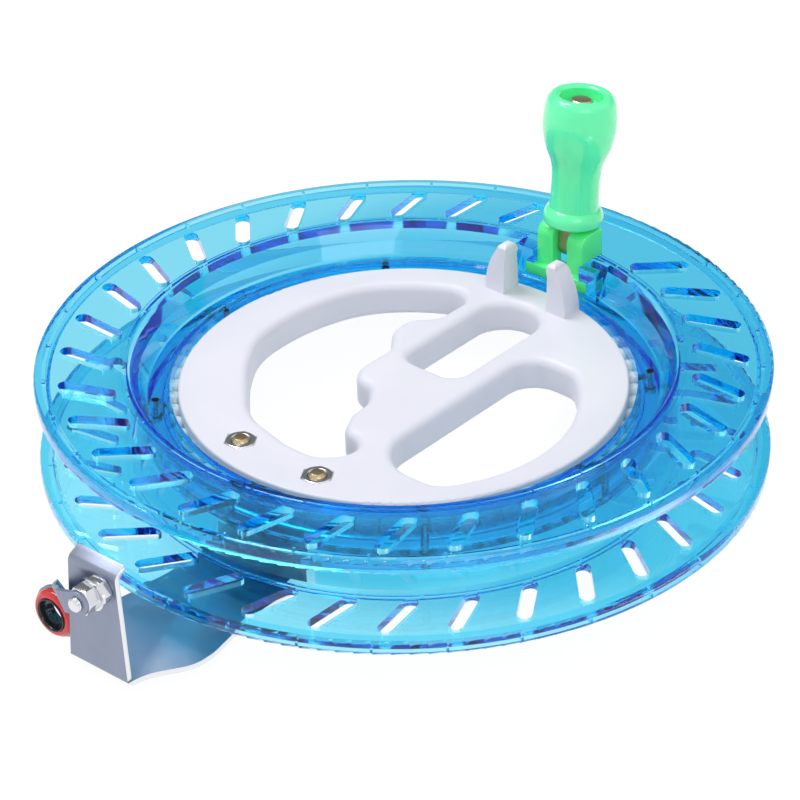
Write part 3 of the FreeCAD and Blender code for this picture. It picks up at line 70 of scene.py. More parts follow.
# %% [markdown]
# The camera comes first. It looks down at the winder from the line guide's side, from far away with
# a long lens, so the two flanges stay nearly the same size.

# %% Camera
CAMERA_AT = (0.530905, -0.605967, 0.498831)
CAMERA_LOOKS = (-0.560978, 0.638548, -0.526840)
CAMERA_ROLL = -1.372        # degrees
CAMERA_LENS = 156.28        # millimetres, as is the sensor
CAMERA_SENSOR = 36.0
camera_data = bpy.data.cameras.new("camera")
camera_data.lens = CAMERA_LENS
camera_data.sensor_width = CAMERA_SENSOR
camera = bpy.data.objects.new("camera", camera_data)
scene.collection.objects.link(camera)
camera.location = CAMERA_AT
facing = Vector(CAMERA_LOOKS).to_track_quat("-Z", "Y").to_matrix()
roll = Euler((0.0, 0.0, math.radians(CAMERA_ROLL))).to_matrix()
camera.rotation_euler = (facing @ roll).to_euler()
scene.camera = camera
scene.view_settings.view_transform = "Standard"
print("camera", round(Vector(CAMERA_AT).length, 3), "m from the winder")

# %% [markdown]
# A look through both flanges and the drum crosses a dozen clear faces or more, and light is mirrored
# to and fro inside each wall. Every crossing and every mirroring is a bounce, and a path that has used
# up its bounces turns black, so the limits are set well above the usual ones.

# %% Light paths through the clear wheel
BOUNCES = 40
scene.cycles.max_bounces = BOUNCES
scene.cycles.transmission_bounces = BOUNCES
scene.cycles.glossy_bounces = BOUNCES
print("bounces allowed for each path:", BOUNCES)

# %% [markdown]
# Colours are written as sRGB hex values, as a paint chart gives them. Blender's shaders work in
# linear light, so one function converts them, by the curve of the sRGB standard. A second one adds a
# node with its settings and links, because each finish below is a small tree of nodes.

# %% Colour and node helpers
NUMBER_A, NUMBER_B = 2, 3   # which of a Mix node's inputs are the two numbers that it mixes
COLOUR_A, COLOUR_B = 6, 7   # and which are the two colours
MIXED_NUMBER = 0            # which of its outputs is the mixed number
MIXED_COLOUR = 2            # and which is the mixed colour


def colour(hex_value):
    """A linear RGBA colour from an sRGB hex value such as 'F2F0F6'."""
    channels = []
    for start in (0, 2, 4):
        value = int(hex_value[start:start + 2], 16) / 255.0
        linear = value / 12.92 if value <= 0.04045 else ((value + 0.055) / 1.055) ** 2.4
        channels.append(linear)
    return (*channels, 1.0)


def add_node(tree, kind, settings=None, links=None):
    """Adds one node, sets its sockets and properties, and joins its inputs to other sockets.

    A socket is named, or given by its number where its name isn't the only one of its kind.
    """
    node = tree.nodes.new(kind)
    for key, value in (settings or {}).items():
        if isinstance(key, int) or key in node.inputs:
            node.inputs[key].default_value = value
        else:
            setattr(node, key, value)
    for key, socket in (links or {}).items():
        tree.links.new(socket, node.inputs[key])
    return node


def new_material(name):
    """An empty node material, and its tree and output node."""
    material = bpy.data.materials.new(name)
    material.use_nodes = True
    tree = material.node_tree
    tree.nodes.clear()
    output = tree.nodes.new("ShaderNodeOutputMaterial")
    return material, tree, output


def dress(piece, material):
    """Gives a piece, or a node of the frame, one material all over."""
    piece.data.materials.clear()
    piece.data.materials.append(material)


# %% [markdown]
# No moulded or rolled surface is quite even. Its colour drifts slowly, and a fine grain makes its gloss
# rise and fall and its height change by a hair. Both come from noise in Object coordinates, which stays
# on the piece when it moves. Plastics and metals share this skin and differ in its numbers.

# %% Uneven skin
GRAIN_RELIEF = 0.1 * MM     # height between the grain's darkest and lightest parts


def noise(patch_mm, detail):
    """Settings of a noise whose patches are about so many millimetres wide."""
    return {"Scale": 1.0 / (patch_mm * MM), "Detail": detail}


def uneven_skin(tree, hex_value, shade, drift, grain, roughness, bump):
    """Links for a shader: a colour that drifts to a shade, a grained roughness, and relief.

    drift and grain are the settings of two noises, and roughness is its least and greatest value.
    """
    place = add_node(tree, "ShaderNodeTexCoord").outputs["Object"]
    slow = add_node(tree, "ShaderNodeTexNoise", drift, {"Vector": place})
    fine = add_node(tree, "ShaderNodeTexNoise", grain, {"Vector": place})
    tint = add_node(tree, "ShaderNodeMix",
                    {"data_type": "RGBA", COLOUR_A: colour(hex_value), COLOUR_B: colour(shade)},
                    {"Factor": slow.outputs["Fac"]})
    gloss = add_node(tree, "ShaderNodeMapRange", {"To Min": roughness[0], "To Max": roughness[1]},
                     {"Value": fine.outputs["Fac"]})
    relief = add_node(tree, "ShaderNodeBump", {"Strength": bump, "Distance": GRAIN_RELIEF},
                      {"Height": fine.outputs["Fac"]})
    return {"Base Color": tint.outputs[MIXED_COLOUR], "Roughness": gloss.outputs["Result"],
            "Normal": relief.outputs["Normal"]}


# %% [markdown]
# The opaque pieces are moulded. The plate's mould has a fine texture, which makes ABS satin. The moulds
# of the knob and its foot are polished, and their soft plastics let light in a little way, which fills
# their shadows with green. The ring's silicone looks wet, and ground balls and fired ceramic are the
# smoothest of all.

# %% Moulded plastics and ceramic
PLASTIC_IOR = 1.49
GLOW_DEPTH = 4.0 * MM       # how far light gets into a soft plastic, before it is scaled
GLOW_SCALE = 0.5
PLASTIC_SPREAD = (0.05, 0.07)   # how far its grain takes the roughness down and up


def moulded(name, hex_value, shade, roughness, grain_mm, bump, coat=0.0, glow=0.0):
    """Opaque or slightly translucent moulded plastic, or a ceramic."""
    material, tree, output = new_material(name)
    smoothest, roughest = roughness - PLASTIC_SPREAD[0], roughness + PLASTIC_SPREAD[1]
    skin = uneven_skin(tree, hex_value, shade, noise(patch_mm=16.7, detail=2.0), noise(grain_mm, detail=3.0),
                       (smoothest, roughest), bump)
    shader = add_node(tree, "ShaderNodeBsdfPrincipled",
                      {"IOR": PLASTIC_IOR, "Coat Weight": coat, "Subsurface Weight": glow,
                       "Subsurface Radius": (GLOW_DEPTH,) * 3, "Subsurface Scale": GLOW_SCALE}, skin)
    tree.links.new(shader.outputs["BSDF"], output.inputs["Surface"])
    print("moulded", name)
    return material


plate_plastic = moulded("off_white_abs", "E1E1EB", "D8D9E5", roughness=0.4, grain_mm=0.4, bump=0.2)
knob_plastic = moulded("mint_polypropylene", "66FFB4", "5AFBAA", roughness=0.22, grain_mm=0.6, bump=0.02,
                       coat=0.8, glow=0.05)
clevis_plastic = moulded("green_nylon", "5CFF96", "50F789", roughness=0.22, grain_mm=0.6, bump=0.05,
                         coat=0.2, glow=0.2)
ring_plastic = moulded("red_silicone", "D8232B", "C41A24", roughness=0.16, grain_mm=0.8, bump=0.02, coat=0.6)
ball_plastic = moulded("white_acetal", "F2F7FA", "E6EEF4", roughness=0.12, grain_mm=0.8, bump=0.01)
ceramic = moulded("dark_ceramic", "2A2B30", "1F2024", roughness=0.1, grain_mm=0.5, bump=0.02)

# %% [markdown]
# The wheel is clear polycarbonate, tinted blue all through. A tint in the volume, not on the surface,
# gives pale walls, and deep blue wherever the eye looks along a wall or through several. The body
# bends light less than the real plastic does, so that what lies behind the wheel shows through it
# plainly, and a clear coat gives its surface the real shine.

# %% Clear blue polycarbonate
CLEAR_SURFACE = {"Base Color": colour("FAFDFE"), "Roughness": 0.02, "IOR": 1.22, "Transmission Weight": 1.0,
                 "Coat Weight": 1.0, "Coat Roughness": 0.03, "Coat IOR": 1.5}
FLOW_MARKS = noise(patch_mm=11.1, detail=1.0)
FLOW_RELIEF = {"Strength": 0.05, "Distance": 0.5 * MM}


def clear_blue(name, tint, density):
    """A clear tinted plastic; tint and density set how the colour deepens with the way through it."""
    material, tree, output = new_material(name)
    place = add_node(tree, "ShaderNodeTexCoord").outputs["Object"]
    marks = add_node(tree, "ShaderNodeTexNoise", FLOW_MARKS, {"Vector": place})
    relief = add_node(tree, "ShaderNodeBump", FLOW_RELIEF, {"Height": marks.outputs["Fac"]})
    shader = add_node(tree, "ShaderNodeBsdfPrincipled", CLEAR_SURFACE, {"Normal": relief.outputs["Normal"]})
    body = add_node(tree, "ShaderNodeVolumeAbsorption", {"Color": colour(tint), "Density": density})
    tree.links.new(shader.outputs["BSDF"], output.inputs["Surface"])
    tree.links.new(body.outputs["Volume"], output.inputs["Volume"])
    print("clear", name)
    return material


upper_plastic = clear_blue("clear_blue_upper", "00EAFC", density=400.0)
lower_plastic = clear_blue("clear_blue_lower", "00ECFC", density=387.0)

# %% [markdown]
# The arm and the ring's frame are cut from sheet aluminium. Its rolled face is satin, and a shear
# leaves a brighter edge. Nuts and washers are zinc plated steel, smooth enough for small clear mirror
# images. The bolts in the plate, the knob's screw and the spindle are brassy, the spindle dull with
# handling. A metal's look is mostly what it mirrors, so the roughness matters more than the colour.

# %% Metals
METAL_SPREAD = (0.08, 0.1)      # how far its grain takes the roughness down and up


def metal(name, hex_value, shade, roughness, grain_mm, bump):
    """Bare or plated metal with slow patches and a fine rolled, turned or plated grain."""
    material, tree, output = new_material(name)
    smoothest, roughest = roughness - METAL_SPREAD[0], roughness + METAL_SPREAD[1]
    skin = uneven_skin(tree, hex_value, shade, noise(patch_mm=11.1, detail=4.0), noise(grain_mm, detail=4.0),
                       (smoothest, roughest), bump)
    shader = add_node(tree, "ShaderNodeBsdfPrincipled", {"Metallic": 1.0}, skin)
    tree.links.new(shader.outputs["BSDF"], output.inputs["Surface"])
    print("metal", name)
    return material


aluminium = metal("satin_sheet_aluminium", "9CA3B6", "8D95AA", roughness=0.42, grain_mm=0.45, bump=0.25)
cut_edge = metal("sheared_aluminium_edge", "F2F3F6", "E6E8EC", roughness=0.3, grain_mm=0.3, bump=0.1)
zinc = metal("bright_zinc_steel", "EDEEF1", "DCDEE3", roughness=0.16, grain_mm=0.6, bump=0.05)
bolt_brass = metal("brass_tinted_steel", "CDBB97", "B9A683", roughness=0.3, grain_mm=0.5, bump=0.1)
pin_steel = metal("turned_steel", "C8CACC", "B6B9BC", roughness=0.25, grain_mm=0.4, bump=0.08)
cap_metal = metal("nickel_brass", "D9D6B8", "C9C5A4", roughness=0.3, grain_mm=0.5, bump=0.1)
spindle_metal = metal("olive_brass", "A8AB80", "999C72", roughness=0.45, grain_mm=0.5, bump=0.1)

# %% [markdown]
# Washers, a hinge pin, the spindle and the screws that join the wheel's halves are small, plain and
# mostly hidden. The CAD solids already have their flat and round faces, so these nodes keep their
# shape and only get their metal.

# %% Dress the frame's nodes
for name, material in {
    "wheel_screws": pin_steel, "arm_washers": zinc, "guide_washer": zinc, "hinge_pin": pin_steel,
    "handle_spindle": spindle_metal,
}.items():
    dress(nodes[name], material)
    print(name, len(nodes[name].data.polygons))

# %% [markdown]
# The frame's solids arrive as loose triangles with hard facets. Moulded, cast and bent pieces have
# smooth curves and slightly broken edges, because a tool can't cut a perfectly sharp corner and a
# mould wouldn't let go of one. So a copy of each such solid gets its triangles joined, its flat faces
# made whole again, a fine bevel, and smooth shading wherever the surface turns gently.

# %% Smooth copies of the solids
WELD = 0.002 * MM           # points nearer to each other than this are joined
FLAT = 0.3                  # degrees between faces that are still one flat face


def select_only(piece):
    """Makes one object the only selected and the active one."""
    bpy.ops.object.select_all(action="DESELECT")
    piece.select_set(True)
    bpy.context.view_layer.objects.active = piece


def round_edges(piece, width_mm, segments=2, sharper_than=32.0):
    """Bevels every edge that turns by more than some degrees."""
    select_only(piece)
    bpy.ops.object.modifier_add(type="BEVEL")
    bevel = piece.modifiers[-1]
    bevel.width = width_mm * MM
    bevel.segments = segments
    bevel.limit_method = "ANGLE"
    bevel.angle_limit = math.radians(sharper_than)
    bevel.use_clamp_overlap = True
    bpy.ops.object.modifier_apply(modifier=bevel.name)


def smooth_copy(node, name, bevel_mm=0.0, segments=2, smooth_to=35.0, whole_faces=True):
    """A copy of a node with joined triangles, broken edges and smooth curves."""
    piece = bpy.data.objects.new(name, nodes[node].data.copy())
    scene.collection.objects.link(piece)
    select_only(piece)
    bpy.ops.mesh.customdata_custom_splitnormals_clear()
    bpy.ops.object.mode_set(mode="EDIT")
    bpy.ops.mesh.select_all(action="SELECT")
    bpy.ops.mesh.remove_doubles(threshold=WELD)
    if whole_faces:
        bpy.ops.mesh.dissolve_limited(angle_limit=math.radians(FLAT))
    bpy.ops.object.mode_set(mode="OBJECT")
    if bevel_mm:
        round_edges(piece, bevel_mm, segments)
    select_only(piece)
    bpy.ops.object.shade_smooth_by_angle(angle=math.radians(smooth_to))
    return piece


# %% [markdown]
# A finished piece takes the place of its CAD node. It rides on the same body, so that it moves with
# the same joints, and it gets its finish.

# %% Stand in for a node
def body_of(node):
    """The body that a node rides on."""
    return nodes[node]["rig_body"]


def stand_for(piece, node, material):
    """Lets a finished piece take the place of a node, with its finish and its motion."""
    dress(piece, material)
    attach(piece, body_of(node))
    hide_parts(node)
    print(piece.name, "replaces", node, "with", len(piece.data.polygons), "faces")


# %% [markdown]
# The wheel is two clear mouldings that meet at mid height. The real joint is a hairline of air, so the
# wall of the drum and the wall behind the ball race are drawn back there by a few hundredths of a
# millimetre in each half. Without that, both halves' faces would lie in the same place, and light
# couldn't tell where one half ends and the other starts.

# %% Wheel halves
JOINT_GAP = 0.03 * MM
RACE_REACH = 69.5 * MM      # inside this radius the halves keep their edge, where the balls run


def wheel_copy(node, name, side, plastic):
    """One clear half; side is 1 for the upper half and -1 for the lower one."""
    half = smooth_copy(node, name, smooth_to=25.0, whole_faces=False)
    bpy.ops.object.modifier_add(type="WEIGHTED_NORMAL")
    half.modifiers[-1].keep_sharp = True
    bpy.ops.object.modifier_apply(modifier=half.modifiers[-1].name)
    bpy.ops.object.mode_set(mode="EDIT")
    bpy.ops.mesh.select_all(action="DESELECT")
    bpy.ops.object.mode_set(mode="OBJECT")
    for vertex in half.data.vertices:
        vertex.select = abs(vertex.co.z) < JOINT_GAP / 3 and vertex.co.xy.length > RACE_REACH
    bpy.ops.object.mode_set(mode="EDIT")
    bpy.ops.mesh.select_mode(type="VERT")
    bpy.ops.transform.translate(value=(0, 0, side * JOINT_GAP))
    bpy.ops.object.mode_set(mode="OBJECT")
    stand_for(half, node, plastic)


wheel_copy("wheel_upper_half", "clear_upper_half", 1, upper_plastic)
wheel_copy("wheel_lower_half", "clear_lower_half", -1, lower_plastic)

# %% [markdown]
# The balls are acetal, ground round. A ball needs no detail but a smooth surface.

# %% Bearing balls
balls = smooth_copy("bearing_balls", "smooth_balls", smooth_to=80.0)
stand_for(balls, "bearing_balls", ball_plastic)

# %% [markdown]
# The grip plate is one thick moulding with generous roundings round the hand holes, so that it doesn't
# cut into the fingers, and slightly softer corners on its two horns.

# %% Grip plate
plate = smooth_copy("grip_plate", "moulded_plate", bevel_mm=0.35, segments=3, smooth_to=40.0)
stand_for(plate, "grip_plate", plate_plastic)

# %% [markdown]
# The arm is cut and bent from sheet, and the frame round the ring is stamped from thinner sheet. The
# arm is bent along Y only, so its rolled faces have no sideways slope and its cut edges do. That is
# how the faces for the bright edge metal are found.

# %% Guide arm and ring frame
CUT_EDGE_SLOPE = 0.35       # sideways part of a face's normal that only a cut edge has
arm = smooth_copy("guide_arm", "bent_arm", bevel_mm=0.18, segments=2, smooth_to=40.0)
stand_for(arm, "guide_arm", aluminium)
arm.data.materials.append(cut_edge)
sheared = [face for face in arm.data.polygons if abs(face.normal.x) > CUT_EDGE_SLOPE]
for face in sheared:
    face.material_index = 1
print("bright faces along the arm's cut edges:", len(sheared))
ring_frame = smooth_copy("guide_frame", "stamped_ring_frame", bevel_mm=0.12, segments=2, smooth_to=50.0)
stand_for(ring_frame, "guide_frame", aluminium)

# %% [markdown]
# The line runs through a hard ceramic eyelet. A soft red shock ring holds it in the stamped frame, so
# both are plain rings with round edges, and a bevel of several segments makes those.

# %% Line ring
red_ring = smooth_copy("guide_shock_ring", "soft_red_ring", bevel_mm=0.35, segments=3, smooth_to=50.0)
stand_for(red_ring, "guide_shock_ring", ring_plastic)
eyelet = smooth_copy("guide_insert", "ceramic_eyelet", bevel_mm=0.15, segments=3, smooth_to=60.0)
stand_for(eyelet, "guide_insert", ceramic)

# %% [markdown]
# The handle's foot is a nylon moulding with well rounded corners. The knob's curve is smooth all the
# way up, apart from the corner of its collar, and the screw that keeps it on sits at the bottom of
# its mouth.

# %% Handle
clevis = smooth_copy("handle_clevis", "moulded_clevis", bevel_mm=0.25, segments=3, smooth_to=40.0)
stand_for(clevis, "handle_clevis", clevis_plastic)
knob = smooth_copy("handle_knob", "turned_knob", smooth_to=28.0)
stand_for(knob, "handle_knob", knob_plastic)
cap_screw = smooth_copy("knob_screw", "cap_screw", bevel_mm=0.2, segments=3, smooth_to=40.0)
stand_for(cap_screw, "knob_screw", cap_metal)

# %% [markdown]
# A nut is turned from hexagon bar: both faces are cut to a shallow cone, which leaves the curved
# scallops on its six sides. The same two steps make it here: an outline is spun round, and what it
# has in common with a hexagonal bar is kept. First comes what turns, cuts and smooths a blank.

# %% Turned blanks and hexagonal bars
def spun(name, outline_mm, steps=72):
    """A solid turned about Z from a closed outline of radius and height in millimetres."""
    bpy.ops.object.select_all(action="DESELECT")
    bpy.ops.mesh.primitive_circle_add(vertices=len(outline_mm), radius=MM)
    piece = bpy.context.object
    piece.name = name
    for vertex, (radius, height) in zip(piece.data.vertices, outline_mm):
        vertex.co = (radius * MM, 0.0, height * MM)
    bpy.ops.object.mode_set(mode="EDIT")
    bpy.ops.mesh.select_all(action="SELECT")
    bpy.ops.mesh.spin(steps=steps, angle=math.tau, center=(0, 0, 0), axis=(0, 0, 1))
    bpy.ops.mesh.select_all(action="SELECT")
    bpy.ops.mesh.remove_doubles(threshold=WELD)
    bpy.ops.mesh.delete_loose(use_verts=True, use_edges=True, use_faces=False)
    bpy.ops.mesh.select_all(action="SELECT")
    bpy.ops.mesh.normals_make_consistent(inside=False)
    bpy.ops.object.mode_set(mode="OBJECT")
    return piece


def hex_bar(flats_mm, low_mm, high_mm):
    """A hexagonal bar with a corner on +X."""
    bpy.ops.object.select_all(action="DESELECT")
    bpy.ops.mesh.primitive_cylinder_add(
        vertices=6, radius=flats_mm / math.sqrt(3.0) * MM, depth=(high_mm - low_mm) * MM,
        location=(0, 0, (low_mm + high_mm) / 2 * MM), rotation=(0, 0, math.radians(30.0)))
    bpy.ops.object.transform_apply(location=True, rotation=True, scale=True)
    return bpy.context.object


def combine(piece, other, operation):
    """A boolean of two pieces, after which the other one is gone."""
    select_only(piece)
    bpy.ops.object.modifier_add(type="BOOLEAN")
    boolean = piece.modifiers[-1]
    boolean.operation = operation
    boolean.object = other
    boolean.solver = "EXACT"
    bpy.ops.object.modifier_apply(modifier=boolean.name)
    bpy.data.objects.remove(other)
    return piece


def finish_metal(piece):
    """Breaks the sharp edges and smooths the round faces."""
    round_edges(piece, width_mm=0.07, segments=2, sharper_than=20.0)
    select_only(piece)
    bpy.ops.object.shade_smooth_by_angle(angle=math.radians(30.0))
    return piece


# %% [markdown]
# The cone's size follows from the nut's flats. The blank and the bar each reach a little past the nut,
# so that no two faces of the boolean lie in the same place.

# %% Nuts
CHAMFER_SLOPE = math.tan(math.radians(30.0))
FACE_SHARE = 0.96           # width of a nut's round face, as a share of its flats
BLANK_SPARE = 0.1           # millimetres of the blank past the hexagon's corners
BAR_SPARE = 1.0             # millimetres of the bar past each face
BORE_CHAMFER = 0.35         # millimetres


def coned(flats_mm):
    """Radius of the round face, radius of the blank, and the cone's drop from one to the other."""
    face = flats_mm / 2 * FACE_SHARE
    corner = flats_mm / math.sqrt(3.0) + BLANK_SPARE
    return face, corner, (corner - face) * CHAMFER_SLOPE


def cut_hexagon(blank, flats_mm, height_mm):
    """Cuts the six sides of a turned blank that stands on the origin."""
    return combine(blank, hex_bar(flats_mm, -BAR_SPARE, height_mm + BAR_SPARE), "INTERSECT")


def hex_nut(name, flats_mm, height_mm, bore_mm):
    """A nut that stands on the origin along +Z, chamfered at both faces and round its bore."""
    face, corner, drop = coned(flats_mm)
    bore = bore_mm / 2
    mouth = bore + BORE_CHAMFER
    blank = spun(name, [
        (bore, BORE_CHAMFER), (mouth, 0), (face, 0), (corner, drop), (corner, height_mm - drop),
        (face, height_mm), (mouth, height_mm), (bore, height_mm - BORE_CHAMFER)])
    return finish_metal(cut_hexagon(blank, flats_mm, height_mm))


# %% [markdown]
# A bolt is a head with a screwed shank. At this size a thread reads as a row of grooves, so rings at
# the thread's pitch are turned into the shank in place of a true helix. The shank starts a little
# inside the head, so that the two join in one solid.

# %% Screwed shanks
GROOVE_DEPTH = 0.45         # as a share of the pitch
HALF_GROOVE = 0.42          # half of a groove's width, as a share of the pitch
FIT = 0.04                  # play in millimetres between a shank and its bore
HEAD_BITE = 0.2             # millimetres of the shank inside the head


def threaded(radius_mm, pitch_mm, low_mm, high_mm, chamfer_mm):
    """Outline of a screwed shank: grooves at the thread's pitch and a chamfered end on top."""
    floor_mm = radius_mm - pitch_mm * GROOVE_DEPTH
    outline = [(0, low_mm), (radius_mm, low_mm)]
    height = low_mm + pitch_mm
    while height + pitch_mm / 2 < high_mm - chamfer_mm:
        outline += [(radius_mm, height - pitch_mm * HALF_GROOVE), (floor_mm, height),
                    (radius_mm, height + pitch_mm * HALF_GROOVE)]
        height += pitch_mm
    outline += [(radius_mm, high_mm - chamfer_mm), (radius_mm - chamfer_mm, high_mm), (0, high_mm)]
    return outline


def add_shank(head, size_mm, pitch_mm, head_mm, length_mm, chamfer_mm):
    """Joins a screwed shank to a bolt's head that stands on the origin."""
    outline = threaded(size_mm / 2 - FIT, pitch_mm, head_mm - HEAD_BITE, length_mm, chamfer_mm)
    return combine(head, spun("shank", outline), "UNION")


# %% [markdown]
# Each fastener is made at the origin, where it is easy to turn and cut, and is then moved to its place.
# Its move is applied to its mesh, so that its object stays at the origin, as a CAD node's does.

# %% Put in place
def settle(piece, at, outward=False):
    """Moves a piece that was made at the origin to its place; outward lays its +Z along -Y."""
    select_only(piece)
    piece.rotation_euler = (math.radians(90.0) if outward else 0.0, 0.0, 0.0)
    piece.location = at
    bpy.ops.object.transform_apply(location=True, rotation=True, scale=True)


def twin(piece, shift):
    """A second one with its own mesh, joined to the first as one piece."""
    other = piece.copy()
    other.data = piece.data.copy()
    scene.collection.objects.link(other)
    for vertex in other.data.vertices:
        vertex.co += shift
    select_only(piece)
    other.select_set(True)
    bpy.ops.object.join()
    return piece


# %% [markdown]
# Two M5 bolts come up through the arm and the grip plate into nuts that are sunk in the plate. Their
# places are read from the frame: a nut's flats from its extent along Y, the distance between the two
# from their extent along X.

# %% Bolts and nuts of the arm
M5, M5_PITCH, M5_CHAMFER = 5.0, 0.8, 0.8
nut_low, nut_high = (Vector(corner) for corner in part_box("arm_nuts"))
bolt_low, bolt_high = (Vector(corner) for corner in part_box("arm_bolts"))
washer_low, washer_high = (Vector(corner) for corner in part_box("arm_washers"))
arm_flats = (nut_high.y - nut_low.y) / MM
spacing = 2 * (nut_high.x - arm_flats * MM / math.sqrt(3.0))
beside = Vector((-spacing, 0.0, 0.0))
first_at = Vector((spacing / 2, (nut_low.y + nut_high.y) / 2, 0.0))
print("nuts", round(arm_flats, 2), "mm across flats,", round(spacing / MM, 2), "mm apart")

plate_nuts = hex_nut("plate_nuts", arm_flats, (nut_high.z - nut_low.z) / MM, M5)
settle(plate_nuts, first_at + Vector((0, 0, nut_low.z)))
stand_for(twin(plate_nuts, beside), "arm_nuts", zinc)

head_mm = (washer_low.z - bolt_low.z) / MM
face, corner, drop = coned(arm_flats)
plate_bolts = spun("plate_bolts", [(0, 0), (face, 0), (corner, drop), (corner, head_mm), (0, head_mm)])
cut_hexagon(plate_bolts, arm_flats, head_mm)
add_shank(plate_bolts, M5, M5_PITCH, head_mm, (bolt_high.z - bolt_low.z) / MM, M5_CHAMFER)
finish_metal(plate_bolts)
settle(plate_bolts, first_at + Vector((0, 0, bolt_low.z)))
stand_for(twin(plate_bolts, beside), "arm_bolts", bolt_brass)

# %% [markdown]
# The line guide hangs on one M4 bolt. From the upright outward come a nut, a washer, a second nut and
# the ring's frame, and the bolt's chamfered end stands a little proud. Its round head sits behind the
# upright's sheet.

# %% Bolt and nuts of the line guide
M4, M4_PITCH, M4_CHAMFER = 4.0, 0.7, 0.5
SHEET = 1.5                 # millimetres of sheet in the upright
ROUND_HEAD = ((0.8, 0.0), (0.25, 0.35), (0.0, 1.0))     # inset from the rim and depth below the top
for node, name in (("guide_spacer_nut", "inner_ring_nut"), ("guide_outer_nut", "outer_ring_nut")):
    low, high = (Vector(corner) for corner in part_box(node))
    nut = hex_nut(name, (high.z - low.z) / MM, (high.y - low.y) / MM, M4)
    settle(nut, Vector(((low.x + high.x) / 2, high.y, (low.z + high.z) / 2)), outward=True)
    stand_for(nut, node, zinc)

low, high = (Vector(corner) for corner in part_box("guide_bolt"))
spacer_low, spacer_high = (Vector(corner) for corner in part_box("guide_spacer_nut"))
head_mm = (high.y - spacer_high.y) / MM - SHEET
head_radius = (high.z - low.z) / MM / 2
dome = [(head_radius - inset, depth) for inset, depth in ROUND_HEAD]
ring_bolt = spun("ring_bolt", [(0, 0), *dome, (head_radius, head_mm), (0, head_mm)])
add_shank(ring_bolt, M4, M4_PITCH, head_mm, (high.y - low.y) / MM, M4_CHAMFER)
finish_metal(ring_bolt)
settle(ring_bolt, Vector(((low.x + high.x) / 2, high.y, (low.z + high.z) / 2)), outward=True)
stand_for(ring_bolt, "guide_bolt", zinc)

# %% [markdown]
# The table is white paper. Where the eye meets it, straight on, in a mirror image or through clear
# plastic, most of it glows a plain white and the rest is lit paper, which keeps the winder's shadow
# soft. The blue shadow that light through the wheel would cast is painted on the table: a round blue
# patch with a soft edge, which shows only where the look goes through clear plastic. A small bright
# patch beside the rim is a painted highlight: it glows only in mirror images, as bright streaks in the
# wheel.

# %% White table
WHITE = colour("FFFFFF")
PAPER = colour("F6F6F6")
TABLE_GLOW = 1.05           # strength of the glow; 1 is white
GLOW_SHARE = 0.9            # share of the glow in what the eye sees, the rest is paper
# painted blue shadow of the wheel on the table, seen only through clear plastic
PAINTED_SHADE = colour("8BDAEC")
PAINTED_SHADE_AT = (0.0, 0.045, 0.0)
PAINTED_SHADE_RADIUS = 0.105
PAINTED_SHADE_EDGE = 0.014          # half of the width that the shade fades over
# painted highlight: a bright patch on the table that only mirror images show
HIGHLIGHT_PATCH_AT = (0.150, 0.0, 0.0)
HIGHLIGHT_PATCH_RADIUS = 0.02
HIGHLIGHT_PATCH_FADED = 0.045          # radius at which the painted highlight has faded into the table
HIGHLIGHT_PATCH_GLOW = 5.0


